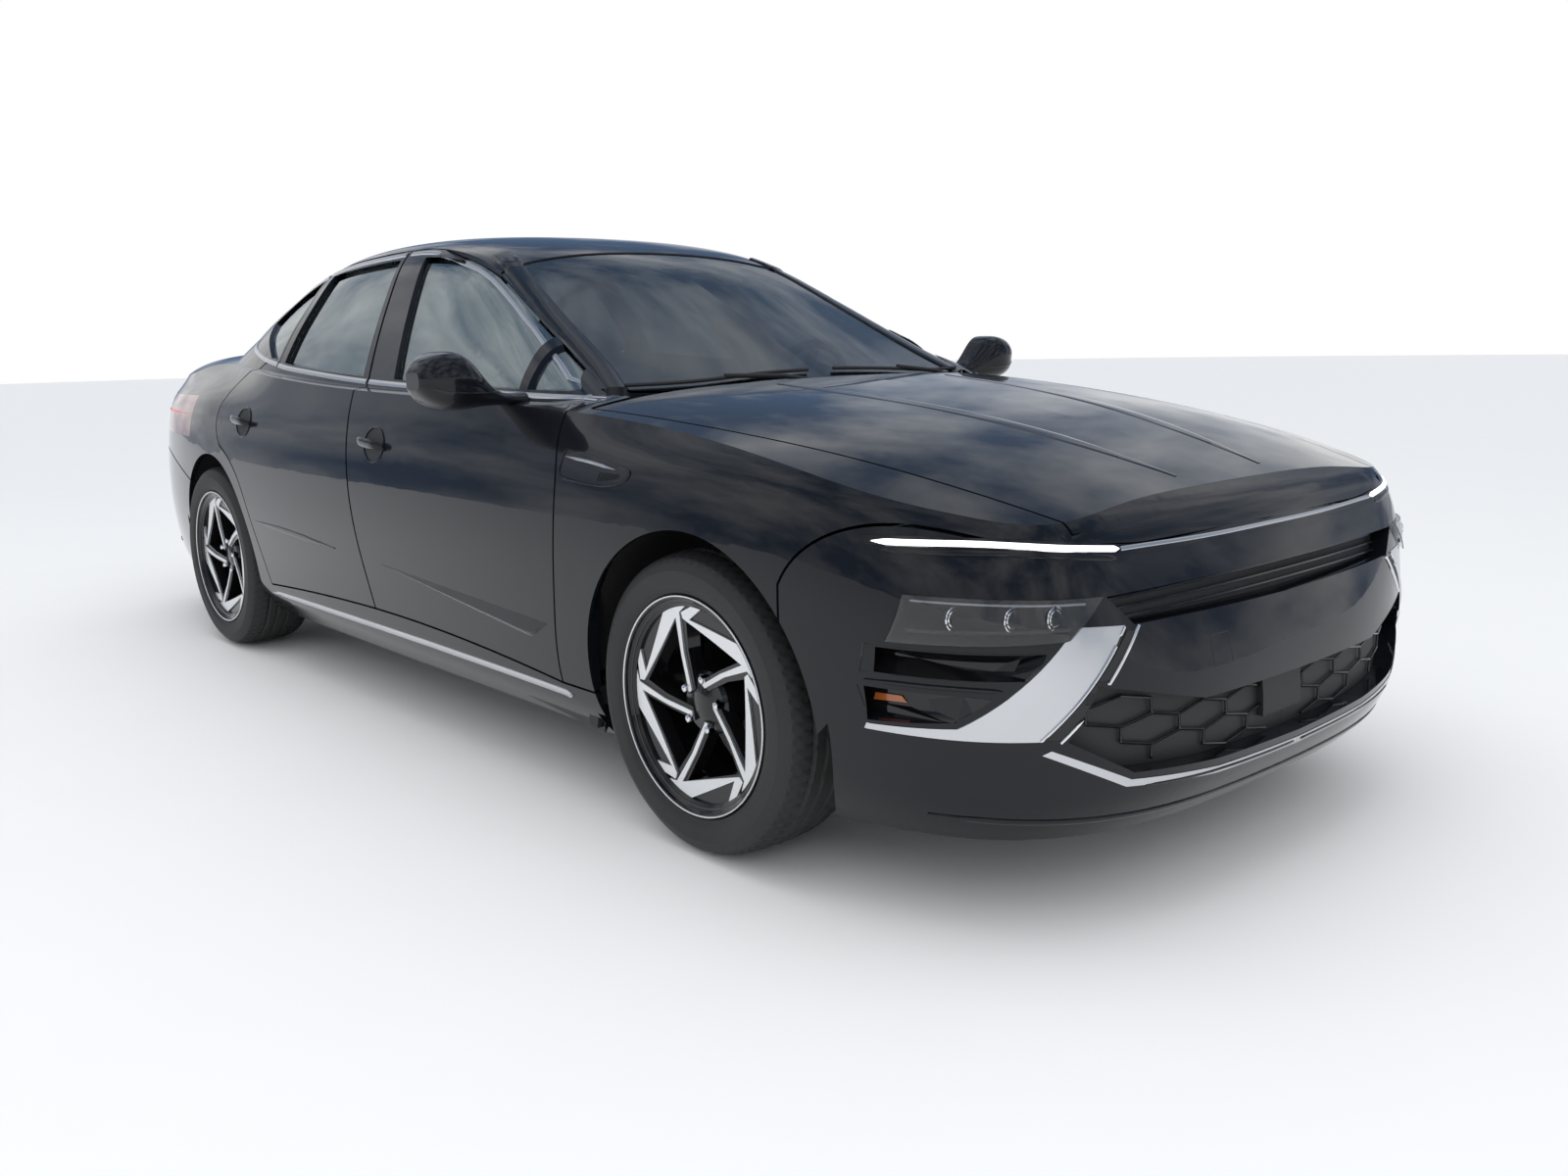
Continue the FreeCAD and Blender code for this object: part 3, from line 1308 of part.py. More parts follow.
def tail_sweep(face):
    return sweep_front(face, -half_length - overrun, -half_length + nose_reach)


def proud_body(proud):
    key = ("proud", proud)
    if key not in body_cache:
        body_cache[key] = lower_body(-proud, -proud)
    return body_cache[key]


def inlay(face, sweep, depth, proud):
    """A layer of the body's surface inside an outline, from its depth to just proud."""
    layer = proud_body(proud).cut(lower_body(depth, depth)) if proud else skin_layer(0.0, depth)
    return oriented_all(layer.common(sweep(face)))


def skin_layer(outer, inner):
    key = ("layer", outer, inner)
    if key not in body_cache:
        body_cache[key] = lower_body(outer, outer).cut(lower_body(inner, inner))
    return body_cache[key]


def light_bar_face(grow):
    """A band along the light bar's middle line."""
    half = light_bar_half + grow
    high_side = [front_place(a, b) + Vector(0, 0, half) for a, b in light_bar_run]
    low_side = [front_place(a, b) - Vector(0, 0, half) for a, b in light_bar_run]
    edges = [run_edge(high_side), run_edge(low_side), line(high_side[0], low_side[0]),
             line(high_side[-1], low_side[-1])]
    return Part.Face(Part.Wire(Part.__sortEdges__(edges)))


def pocket(face, sweep, depth):
    """What an inlay needs cut out of the piece that carries it."""
    return proud_body(trim_proud * 2).cut(lower_body(depth, depth)).common(sweep(face))


def front_pockets():
    """Openings and recesses of the front bumper."""
    through = [nose_sweep(face_of(shares)) for shares in (upper_slot_shares, mesh_shares)]
    lamps = [pocket(face_of(lamp_shares), nose_sweep, lamp_depth)]
    slots = [pocket(face_of(shares), nose_sweep, lamp_depth)
             for shares in (corner_slot_shares, side_slot_shares)]
    trims = [pocket(face_of(shares), nose_sweep, trim_depth + seat_gap)
             for shares in (silver_panel_shares, silver_low_shares)]
    trims.append(pocket(light_bar_face(0.0), nose_sweep, trim_depth + seat_gap))
    return through + lamps + slots + trims


def front_bumper():
    wall = wall_body(bumper_wall, lid_wall, frame_wall)
    solid = wall.common(sweep_side(resized(nose_region(), -half_gap)))
    solid = solid.cut(sweep_up(bonnet_region(half_gap), high(bonnet_low_share) - half_gap))
    solid = solid.cut(wheel_space())
    solid = solid.common(slab(0, length, high(flank_low_share) + floor_gap, height))
    for cutter in front_pockets():
        solid = solid.cut(cutter)
    return joined_halves(biggest(solid))


def front_lamps():
    """Lenses of the headlamps and the light bar across the nose."""
    lens = skin_layer(0.0, lens_wall).common(
        nose_sweep(resized(face_of(lamp_shares), -seat_gap)))
    body = skin_layer(lens_wall + seat_gap, lamp_depth - seat_gap).common(
        nose_sweep(resized(face_of(lamp_shares), -seat_gap)))
    bar = skin_layer(0.0, trim_depth).common(nose_sweep(light_bar_face(-seat_gap)))
    pieces = [biggest(lens), biggest(body)]
    return Part.makeCompound(list(both_sides(Part.makeCompound(pieces)).Solids)
                             + joined_halves(biggest(bar)).Solids)


def grille():
    """The black back panels behind the upper slot and the lower mesh."""
    layer = skin_layer(grille_depth, grille_depth + grille_wall)
    solids = []
    for shares in (upper_slot_shares, mesh_shares):
        solids += joined_halves(biggest(layer.common(nose_sweep(
            resized(mirror_face(shares), -seat_gap))))).Solids
    return Part.makeCompound(solids)


def mirror_face(shares):
    half = face_of(shares)
    return one_face(half.fuse(mirrored(half)))


def front_trim():
    """The silver panels beside the grille and the strip under it."""
    panel = inlay(resized(face_of(silver_panel_shares), -seat_gap), nose_sweep, trim_depth,
                  trim_proud)
    panel = biggest(panel.cut(nose_sweep(face_of(lamp_shares))))
    strip = biggest(inlay(resized(mirror_face(silver_low_shares), -seat_gap), nose_sweep,
                          trim_depth, trim_proud))
    return Part.makeCompound(list(both_sides(panel).Solids) + joined_halves(strip).Solids)


def tail_lamps():
    face = resized(face_of(tail_lamp_shares), -seat_gap)
    lamp = skin_layer(0.0, tail_lamp_depth - seat_gap).common(tail_sweep(face))
    return both_sides(biggest(lamp.cut(lid_cut(shut_gap))))


def lid_lamp():
    face = resized(mirror_face(lid_lamp_shares), -seat_gap)
    lamp = skin_layer(0.0, lens_wall).common(tail_sweep(face))
    return joined_halves(biggest(lamp))


def mirror():
    """The left door mirror's shell on its arm, with a flat face to the rear."""
    wires = []
    for out, deep, tall, rise in mirror_stations:
        points = []
        for k in range(mirror_sides):
            turn = 2 * math.pi * k / mirror_sides
            a, b = (math.copysign(abs(v) ** mirror_square, v)
                    for v in (math.cos(turn), math.sin(turn)))
            points.append(Vector(mirror_x + a * deep / 2, mirror_root_y + out,
                                 mirror_z + rise + b * tall / 2))
        curve = Part.BSplineCurve()
        curve.interpolate(points, PeriodicFlag=True)
        wires.append(Part.Wire([curve.toShape()]))
    shell = oriented(Part.makeLoft(wires, True))
    shell = shell.cut(block(0, mirror_x - mirror_rear, 0, width, 0, height))
    return biggest(shell.cut(whole_body(-seat_gap, -seat_gap, -seat_gap, glass_drop)))


def exhaust():
    """The pipe under the floor."""
    z = high(flank_low_share) + floor_gap - exhaust_radius - seat_gap
    return Part.makeCylinder(exhaust_radius, wheelbase * 0.8, Vector(rear_axle_x * 0.9, 0, z),
                             Vector(1, 0, 0))


def bulkheads():
    """The firewall, the wall behind the rear seat, the shelf and the boot hinges' brackets."""
    room = door_wall + post_wall + seat_gap
    under = scuttle_drop + floor_wall + seat_gap
    low = high(flank_low_share) + floor_gap + floor_wall + seat_gap
    thin = lower_body(room, under).common(slab(firewall_x - shelf_wall, firewall_x, low, height))
    form = whole_body(door_wall + seat_gap, door_wall, side_frame_wall + seat_gap, height)
    rear = form.common(slab(bulkhead_x - shelf_wall, bulkhead_x,
                            axle_z + hub_carrier_radius + hinge_plate, dash_high_z))
    shelf = form.common(slab(side_x(light_base_run[0][0]) - shelf_wall, bulkhead_x,
                             dash_high_z - shelf_wall, dash_high_z))
    room = wheel_space(seat_gap)
    shelf = biggest(shelf.cut(room)).multiFuse([biggest(rear.cut(room))] + boot_brackets())
    solids = joined_halves(biggest(thin)).Solids + joined_halves(oriented_all(shelf)).Solids
    return Part.makeCompound(solids)


def boot_brackets():
    """Two ears and a pin on the shelf, for the boot lid's arm."""
    outer = hinge_plate * 1.5 + seat_gap
    pieces = [cylinder_y(boot_hinge_x, boot_hinge_z, lid_pin, boot_hinge_y - outer,
                         boot_hinge_y + outer)]
    for side in (-1, 1):
        y = boot_hinge_y + side * (hinge_plate + seat_gap)
        pieces.append(block(boot_hinge_x - 2 * lid_pin, boot_hinge_x + 2 * lid_pin,
                            y - hinge_plate / 2, y + hinge_plate / 2, dash_high_z - shelf_wall,
                            boot_hinge_z + 1.4 * lid_pin))
    return pieces


def export(name, shape):
    shape.exportStep(os.path.join("parts", name + ".step"))


# Pieces with a mirrored twin on the right, named for their side
sided = {
    "body_side": body_side,
    "front_door": front_door,
    "front_window": lambda: door_glass((front_pane, corner_pane)),
    "rear_door": rear_door,
    "rear_window": lambda: door_glass((rear_pane,)),
    "mirror": mirror,
    "knuckle": knuckle,
    "front_wheel": lambda: wheel(front_axle_x),
    "front_tyre": lambda: tyre(front_axle_x),
    "rear_wheel": lambda: wheel(rear_axle_x),
    "rear_tyre": lambda: tyre(rear_axle_x),
}
# Pieces on the centre plane, or pairs fixed to one body
central = {
    "roof": roof_panel,
    "floor": floor_pan,
    "arch_liners": arch_liners,
    "front_wings": front_wings,
    "front_bumper": front_bumper,
    "rear_bumper": rear_bumper,
    "windscreen": lambda: screen(screen_region(-seat_gap)),
    "back_window": lambda: screen(light_region(-seat_gap)),
    "quarter_windows": lambda: both_sides(door_glass((quarter_pane,))),
    "grille": grille,
    "front_lamps": front_lamps,
    "front_trim": front_trim,
    "tail_lamps": tail_lamps,
    "dashboard": dashboard,
    "bulkheads": bulkheads,
    "front_seats": front_seats,
    "rear_seat": rear_seat,
    "engine": engine,
    "front_subframe": front_subframe,
    "rear_axle": rear_axle,
    "scuttle": scuttle,
    "exhaust": exhaust,
    "bonnet": bonnet,
    "boot_lid": boot_lid,
    "lid_lamp": lid_lamp,
    "steering_wheel": steering_wheel,
}


def main():
    os.makedirs("parts", exist_ok=True)
    for name, build in sided.items():
        left = build()
        export(name + "_left", left)
        export(name + "_right", mirrored(left))
    for name, build in central.items():
        export(name, build())


main()
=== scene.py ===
import json
import math

import bmesh
import bpy
from mathutils import Matrix, Vector
from mathutils.bvhtree import BVHTree


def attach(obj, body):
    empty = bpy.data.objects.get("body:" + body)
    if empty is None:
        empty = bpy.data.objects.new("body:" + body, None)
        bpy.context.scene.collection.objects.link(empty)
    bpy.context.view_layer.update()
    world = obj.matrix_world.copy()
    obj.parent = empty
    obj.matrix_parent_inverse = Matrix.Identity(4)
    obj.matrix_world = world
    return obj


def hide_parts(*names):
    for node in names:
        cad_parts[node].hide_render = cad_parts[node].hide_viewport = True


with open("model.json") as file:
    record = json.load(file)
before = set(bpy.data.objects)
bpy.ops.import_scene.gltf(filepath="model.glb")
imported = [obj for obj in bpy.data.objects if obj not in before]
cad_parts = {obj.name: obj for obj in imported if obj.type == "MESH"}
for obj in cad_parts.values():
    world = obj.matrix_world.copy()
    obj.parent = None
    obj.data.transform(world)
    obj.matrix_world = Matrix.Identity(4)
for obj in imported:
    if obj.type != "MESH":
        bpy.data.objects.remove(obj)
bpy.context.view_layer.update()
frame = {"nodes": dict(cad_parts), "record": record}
bpy.context.scene.view_settings.view_transform = "Standard"


# Camera

PHOTO_WIDTH = 1600
CAMERA_PLACE = (3.71474, -2.55944, 1.12400)
CAMERA_YAW = 0.845322
CAMERA_PITCH = -0.193403
CAMERA_ROLL = -0.019497
FOCAL_PIXELS = 1350.874
SENSOR_WIDTH = 36.0


def add_camera():
    data = bpy.data.cameras.new("camera")
    data.sensor_width = SENSOR_WIDTH
    data.lens = FOCAL_PIXELS * SENSOR_WIDTH / PHOTO_WIDTH
    data.clip_end = 100.0
    camera = bpy.data.objects.new("camera", data)
    bpy.context.scene.collection.objects.link(camera)
    ahead = Vector((-math.sin(CAMERA_YAW) * math.cos(CAMERA_PITCH),
                    math.cos(CAMERA_YAW) * math.cos(CAMERA_PITCH), math.sin(CAMERA_PITCH)))
    right = Vector((math.cos(CAMERA_YAW), math.sin(CAMERA_YAW), 0.0))
    up = right.cross(ahead)
    cos_roll, sin_roll = math.cos(CAMERA_ROLL), math.sin(CAMERA_ROLL)
    right, up = cos_roll * right + sin_roll * up, cos_roll * up - sin_roll * right
    turn = Matrix((right, up, -ahead)).transposed()
    camera.matrix_world = Matrix.Translation(CAMERA_PLACE) @ turn.to_4x4()
    bpy.context.scene.camera = camera


# Materials

def new_material(name):
    material = bpy.data.materials.new(name)
    material.use_nodes = True
    nodes = material.node_tree.nodes
    nodes.clear()
    output = nodes.new("ShaderNodeOutputMaterial")
    shader = nodes.new("ShaderNodeBsdfPrincipled")
    material.node_tree.links.new(shader.outputs["BSDF"], output.inputs["Surface"])
    return material, nodes, material.node_tree.links, shader


def make_group(name, inputs, outputs, build):
    """A shader node group with named inputs and outputs."""
    group = bpy.data.node_groups.new(name, "ShaderNodeTree")
    for label, value in inputs:
        kind = "NodeSocketColor" if isinstance(value, tuple) else "NodeSocketFloat"
        socket = group.interface.new_socket(label, in_out="INPUT", socket_type=kind)
        socket.default_value = value
    for label, kind in outputs:
        group.interface.new_socket(label, in_out="OUTPUT", socket_type=kind)
    inside = group.nodes.new("NodeGroupInput")
    outside = group.nodes.new("NodeGroupOutput")
    build(group, inside, outside)
    return group


def build_surface_grain(group, inside, outside):
    """Slow colour drift and a fine bump height over any surface."""
    nodes, links = group.nodes, group.links
    place = nodes.new("ShaderNodeTexCoord")
    slow = nodes.new("ShaderNodeTexNoise")
    slow.inputs["Detail"].default_value = 3.0
    links.new(place.outputs["Object"], slow.inputs["Vector"])
    links.new(inside.outputs["Drift scale"], slow.inputs["Scale"])
    fine = nodes.new("ShaderNodeTexNoise")
    fine.inputs["Detail"].default_value = 4.0
    links.new(place.outputs["Object"], fine.inputs["Vector"])
    links.new(inside.outputs["Grain scale"], fine.inputs["Scale"])
    mix = nodes.new("ShaderNodeMix")
    mix.data_type = "RGBA"
    links.new(slow.outputs["Fac"], mix.inputs["Factor"])
    links.new(inside.outputs["Dark"], mix.inputs["A"])
    links.new(inside.outputs["Light"], mix.inputs["B"])
    links.new(mix.outputs["Result"], outside.inputs["Color"])
    reach = nodes.new("ShaderNodeMapRange")
    links.new(fine.outputs["Fac"], reach.inputs["Value"])
    links.new(inside.outputs["Rough low"], reach.inputs["To Min"])
    links.new(inside.outputs["Rough high"], reach.inputs["To Max"])
    links.new(reach.outputs["Result"], outside.inputs["Roughness"])
    links.new(fine.outputs["Fac"], outside.inputs["Height"])


GRAIN = make_group(
    "surface_grain",
    [("Dark", (0.0, 0.0, 0.0, 1.0)), ("Light", (0.1, 0.1, 0.1, 1.0)), ("Drift scale", 3.0),
     ("Grain scale", 300.0), ("Rough low", 0.3), ("Rough high", 0.5)],
    [("Color", "NodeSocketColor"), ("Roughness", "NodeSocketFloat"), ("Height", "NodeSocketFloat")],
    build_surface_grain)


def finish(name, dark, light, rough, drift=3.0, grain=300.0, bump=0.1, depth=0.001, metallic=0.0,
           coat=0.0, glow=0.0, clear=0.0, specular=0.5, coat_ior=1.5):
    """A material with drifting colour, varied roughness and a fine bump."""
    material, nodes, links, shader = new_material(name)
    group = nodes.new("ShaderNodeGroup")
    group.node_tree = GRAIN
    group.inputs["Dark"].default_value = (*dark, 1.0)
    group.inputs["Light"].default_value = (*light, 1.0)
    group.inputs["Drift scale"].default_value = drift
    group.inputs["Grain scale"].default_value = grain
    group.inputs["Rough low"].default_value = rough[0]
    group.inputs["Rough high"].default_value = rough[1]
    links.new(group.outputs["Color"], shader.inputs["Base Color"])
    links.new(group.outputs["Roughness"], shader.inputs["Roughness"])
    shader.inputs["Metallic"].default_value = metallic
    shader.inputs["Coat Weight"].default_value = coat
    shader.inputs["Coat IOR"].default_value = coat_ior
    shader.inputs["Specular IOR Level"].default_value = specular
    shader.inputs["Transmission Weight"].default_value = clear
    if glow:
        links.new(group.outputs["Color"], shader.inputs["Emission Color"])
        shader.inputs["Emission Strength"].default_value = glow
    if bump:
        relief = nodes.new("ShaderNodeBump")
        relief.inputs["Strength"].default_value = bump
        relief.inputs["Distance"].default_value = depth
        links.new(group.outputs["Height"], relief.inputs["Height"])
        links.new(relief.outputs["Normal"], shader.inputs["Normal"])
    return material


PAINT = finish("black_clearcoat_paint", (0.004, 0.005, 0.007), (0.008, 0.009, 0.012),
               (0.16, 0.2), drift=1.4, grain=900.0, bump=0.0, coat=1.0, specular=0.05,
               coat_ior=1.37)
GLOSS_BLACK = finish("gloss_black_moulding", (0.004, 0.004, 0.005), (0.009, 0.009, 0.01),
                     (0.1, 0.15), grain=700.0, bump=0.0, coat=0.6, specular=0.2)
MATT_BLACK = finish("grained_black_plastic", (0.012, 0.012, 0.013), (0.024, 0.024, 0.025),
                    (0.5, 0.66), grain=900.0, bump=0.25, depth=0.0006)
UNDERBODY = finish("underbody_coating", (0.014, 0.014, 0.015), (0.032, 0.031, 0.030),
                   (0.6, 0.8), grain=160.0, bump=0.4, depth=0.002)
SATIN_SILVER = finish("satin_silver_trim", (0.55, 0.56, 0.58), (0.66, 0.67, 0.69),
                      (0.18, 0.26), grain=500.0, bump=0.03, metallic=1.0)
CHROME = finish("bright_chrome", (0.74, 0.75, 0.77), (0.84, 0.85, 0.87), (0.05, 0.1), bump=0.0,
                metallic=1.0)
CUT_ALLOY = finish("machined_alloy", (0.7, 0.71, 0.72), (0.82, 0.83, 0.84), (0.22, 0.32),
                   drift=6.0, grain=1200.0, bump=0.05, depth=0.0003, metallic=0.85)
CAST_METAL = finish("cast_metal", (0.10, 0.10, 0.105), (0.2, 0.2, 0.2), (0.45, 0.65),
                    grain=220.0, bump=0.4, depth=0.002, metallic=0.8)
STEEL = finish("dull_steel", (0.16, 0.16, 0.16), (0.28, 0.27, 0.26), (0.3, 0.5), grain=260.0,
               bump=0.15, metallic=1.0)
RUBBER = finish("tyre_rubber", (0.012, 0.012, 0.012), (0.024, 0.024, 0.025), (0.5, 0.72),
                drift=9.0, grain=420.0, bump=0.3, depth=0.0006)
LEATHER = finish("dark_leather", (0.016, 0.016, 0.018), (0.03, 0.03, 0.033), (0.42, 0.6),
                 drift=8.0, grain=380.0, bump=0.5, depth=0.0012)
WINDSCREEN_GLASS = finish("windscreen_glass", (0.16, 0.2, 0.24), (0.2, 0.24, 0.28), (0.0, 0.01),
                          bump=0.0, metallic=0.18, clear=1.0)
SIDE_GLASS = finish("side_glass", (0.36, 0.42, 0.43), (0.44, 0.5, 0.51), (0.0, 0.01),
                    bump=0.0, metallic=0.5, clear=1.0)
LAMP_LENS = finish("lamp_lens", (0.5, 0.52, 0.54), (0.6, 0.62, 0.64), (0.0, 0.01), bump=0.0,
                   clear=1.0)
RED_LENS = finish("red_lens", (0.12, 0.002, 0.004), (0.2, 0.004, 0.006), (0.06, 0.1), bump=0.0,
                  coat=1.0)
RED_GLOW = finish("red_lamp_strip", (0.5, 0.01, 0.014), (0.7, 0.015, 0.02), (0.1, 0.2), bump=0.0,
                  glow=0.25)
WHITE_GLOW = finish("white_lamp_strip", (0.9, 0.93, 1.0), (1.0, 1.0, 1.0), (0.2, 0.3), bump=0.0,
                    glow=1.6)
AMBER = finish("amber_marker", (0.36, 0.09, 0.02), (0.5, 0.14, 0.03), (0.1, 0.2), bump=0.0,
               coat=0.8)
MIRROR_GLASS = finish("mirror_glass", (0.7, 0.72, 0.74), (0.76, 0.78, 0.8), (0.02, 0.04),
                      bump=0.0, metallic=1.0)

NODE_FINISHES = {
    "alloy": CUT_ALLOY, "tyre": RUBBER, "paint": PAINT, "glazing": SIDE_GLASS, "lamp": GLOSS_BLACK,
    "tail_lamp": RED_LENS, "bright_trim": SATIN_SILVER, "black_trim": GLOSS_BLACK,
    "dark_plastic": MATT_BLACK, "upholstery": LEATHER, "engine": CAST_METAL, "chassis": STEEL,
    "exhaust": STEEL, "floor": UNDERBODY,
}


def finish_nodes():
    slots = {row["node"]: row["material_slot"] for row in frame["record"]["subparts"]}
    for name, node in frame["nodes"].items():
        material = NODE_FINISHES[slots[name]]
        if name in ("windscreen", "back_window"):
            material = WINDSCREEN_GLASS
        if name == "grille":
            material = MATT_BLACK
        node.data.materials.clear()
        node.data.materials.append(material)


# Mesh helpers

SMOOTH_ANGLE = math.radians(32)


def add_piece(name, builder, material, body, slot, smooth=True):
    """Turns a built mesh into a piece that rides on a body."""
    bmesh.ops.recalc_face_normals(builder, faces=builder.faces[:])
    mesh = bpy.data.meshes.new(name)
    builder.to_mesh(mesh)
    builder.free()
    if smooth:
        mesh.shade_smooth()
        mesh.set_sharp_from_angle(angle=SMOOTH_ANGLE)
    mesh.materials.append(material)
    piece = bpy.data.objects.new(name, mesh)
    bpy.context.scene.collection.objects.link(piece)
    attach(piece, body)
    return piece


def loft(builder, rings, capped=True, looped=False):
    """Faces between rings of equally many points."""
    rows = [[builder.verts.new(point) for point in ring] for ring in rings]
    pairs = list(zip(rows, rows[1:] + (rows[:1] if looped else [])))
    for low, high in pairs[:len(rows) if looped else len(rows) - 1]:
        for index in range(len(low)):
            builder.faces.new((low[index - 1], low[index], high[index], high[index - 1]))
    if capped and not looped:
        builder.faces.new(rows[0])
        builder.faces.new(rows[-1])


def smooth_run(run, steps):
    """Evenly numbered points on a soft curve through a run of flat points."""
    points = [Vector(point) for point in run]
    points = [2 * points[0] - points[1]] + points + [2 * points[-1] - points[-2]]
    result = []
    spans = len(points) - 3
    for step in range(steps + 1):
        place = spans * step / steps
        span = min(int(place), spans - 1)
        t = place - span
        a, b, c, d = points[span:span + 4]
        result.append(0.5 * (2 * b + (c - a) * t + (2 * a - 5 * b + 4 * c - d) * t * t
                             + (3 * b - a - 3 * c + d) * t ** 3))
    return result


# The car's skin, which trim lies on

def skin(names):
    points, faces = [], []
    for name in names:
        mesh = frame["nodes"][name].data
        base = len(points)
        points += [vertex.co.copy() for vertex in mesh.vertices]
        faces += [[base + corner for corner in face.vertices] for face in mesh.polygons]
    return BVHTree.FromPolygons(points, faces)


def looker(tree, start, towards):
    """A function from two flat places to the skin's point and outward normal there."""
    towards = Vector(towards)

    def place(first, second):
        spot, normal, _, _ = tree.ray_cast(Vector(start(first, second)), towards)
        if spot is not None and normal.dot(towards) > 0:
            normal = -normal
        return spot, normal
    return place


SIDES = (("left", 1), ("right", -1))
ON_SIDE = {}
for side_name, side in SIDES:
    side_skin = skin([f"{part}_{side_name}" for part in
                      ("body_side", "front_door", "rear_door", "front_window", "rear_window")]
                     + ["quarter_windows", "front_wings", "front_bumper", "rear_bumper"])
    ON_SIDE[side] = looker(side_skin, lambda x, z, s=side: (x, 1.4 * s, z), (0, -side, 0))
ON_NOSE = looker(skin(["front_bumper", "front_wings", "bonnet", "front_lamps", "front_trim",
                       "grille"]), lambda y, z: (3.0, y, z), (-1, 0, 0))
ON_LAMPS = looker(skin(["front_lamps"]), lambda y, z: (3.0, y, z), (-1, 0, 0))
ON_GRILLE = looker(skin(["grille"]), lambda y, z: (3.0, y, z), (-1, 0, 0))
ON_TAIL = looker(skin(["rear_bumper", "boot_lid", "tail_lamps", "lid_lamp", "body_side_left",
                       "body_side_right"]), lambda y, z: (-3.0, y, z), (1, 0, 0))
ON_TOP = looker(skin(["bonnet", "windscreen", "roof", "scuttle", "back_window", "boot_lid",
                      "front_wings", "body_side_left", "body_side_right"]),
                lambda x, y: (x, y, 2.0), (0, 0, -1))

MOULDING = ((-1.0, 0.0), (-0.86, 0.6), (-0.5, 1.0), (0.5, 1.0), (0.86, 0.6), (1.0, 0.0))


def add_strip(builder, place, run, half, rise, steps=40, sink=0.002, lift=0.0, taper=0):
    """A moulding that lies on the skin along a run."""
    path = [place(*point) for point in smooth_run(run, steps)]
    path = [(spot, normal) for spot, normal in path if spot is not None]
    rings = []
    for index, (spot, normal) in enumerate(path):
        ahead = path[min(index + 1, len(path) - 1)][0] - path[max(index - 1, 0)][0]
        across = normal.cross(ahead).normalized()
        wide = half
        if taper:
            wide *= min(1.0, 0.15 + min(index, len(path) - 1 - index) / taper)
        rings.append([spot + across * wide * a + normal * (lift + (rise * h if h else -sink))
                      for a, h in MOULDING])
    loft(builder, rings)


def strip(name, place, run, half, rise, material, body, slot, **options):
    builder = bmesh.new()
    add_strip(builder, place, run, half, rise, **options)
    return add_piece(name, builder, material, body, slot)


def add_patch(builder, place, outline, rise, cell=0.03, sink=0.004):
    """A plate inside a flat outline, laid on the skin."""
    flat = bmesh.new()
    face = flat.faces.new([flat.verts.new((a, b, 0.0)) for a, b in outline])
    face.normal_update()
    bmesh.ops.triangulate(flat, faces=[face])
    for axis in (0, 1):
        low = min(point[axis] for point in outline)
        high = max(point[axis] for point in outline)
        count = max(1, int((high - low) / cell))
        for step in range(1, count):
            spot = [0.0, 0.0, 0.0]
            facing = [0.0, 0.0, 0.0]
            spot[axis] = low + (high - low) * step / count
            facing[axis] = 1.0
            bmesh.ops.bisect_plane(flat, geom=flat.verts[:] + flat.edges[:] + flat.faces[:],
                                   plane_co=spot, plane_no=facing)
    flat.verts.index_update()
    tops, lows = {}, {}
    for vertex in flat.verts:
        spot, normal = place(vertex.co.x, vertex.co.y)
        if spot is None:
            continue
        tops[vertex.index] = builder.verts.new(spot + normal * rise)
        lows[vertex.index] = builder.verts.new(spot - normal * sink)
    for face in flat.faces:
        corners = [vertex.index for vertex in face.verts]
        if all(corner in tops for corner in corners):
            builder.faces.new([tops[corner] for corner in corners])
            builder.faces.new([lows[corner] for corner in reversed(corners)])
    for edge in flat.edges:
        ends = [vertex.index for vertex in edge.verts]
        if edge.is_boundary and all(end in tops for end in ends):
            builder.faces.new((tops[ends[0]], tops[ends[1]], lows[ends[1]], lows[ends[0]]))
    flat.free()


def patch(name, place, outline, rise, material, body, slot, **options):
    builder = bmesh.new()
    add_patch(builder, place, outline, rise, **options)
    return add_piece(name, builder, material, body, slot)


def add_tube(builder, points, radius, sides=8):
    """A round bar through points in space."""
    points = [Vector(point) for point in points]
    rings = []
    for index, point in enumerate(points):
        ahead = (points[min(index + 1, len(points) - 1)] - points[max(index - 1, 0)]).normalized()
        first = ahead.orthogonal().normalized()
        if abs(ahead.z) < 0.9:
            first = ahead.cross(Vector((0, 0, 1))).normalized()
        second = ahead.cross(first)
        rings.append([point + radius * (math.cos(2 * math.pi * turn / sides) * first
                                        + math.sin(2 * math.pi * turn / sides) * second)
                      for turn in range(sides)])
    loft(builder, rings)


# Wheels and tyres

AXLES = {"front": 1.535, "rear": -1.305}
AXLE_Z = 0.334
TRACK_HALF = 0.795
TYRE_STEPS = 216
SIDE_WALL = ((0.0962, 0.2228), (0.1015, 0.2425), (0.1078, 0.2465), (0.1100, 0.2500),
             (0.1102, 0.2530), (0.1118, 0.2545), (0.1150, 0.2660), (0.1152, 0.2690),
             (0.1170, 0.2830), (0.1168, 0.2950), (0.1158, 0.2965), (0.1120, 0.3080),
             (0.1020, 0.3205))
TREAD_HALF = 0.0960
TREAD_POINTS = 30
GROOVE_PLACES = (-0.052, -0.018, 0.018, 0.052)


def tread_radius(across, step):
    """The tyre's radius across its tread, with four round grooves and slanted cuts."""
    radius = 0.334 - 0.010 * (abs(across) / TREAD_HALF) ** 4
    if min(abs(across - groove) for groove in GROOVE_PLACES) < 0.0042:
        return radius - 0.007
    shift = int(abs(across) / 0.012)
    if abs(across) > 0.055 and (step + shift // 2) % 3 == 0:
        return radius - 0.0045
    if abs(across) <= 0.055 and (step + shift) % 9 == 0:
        return radius - 0.003
    return radius


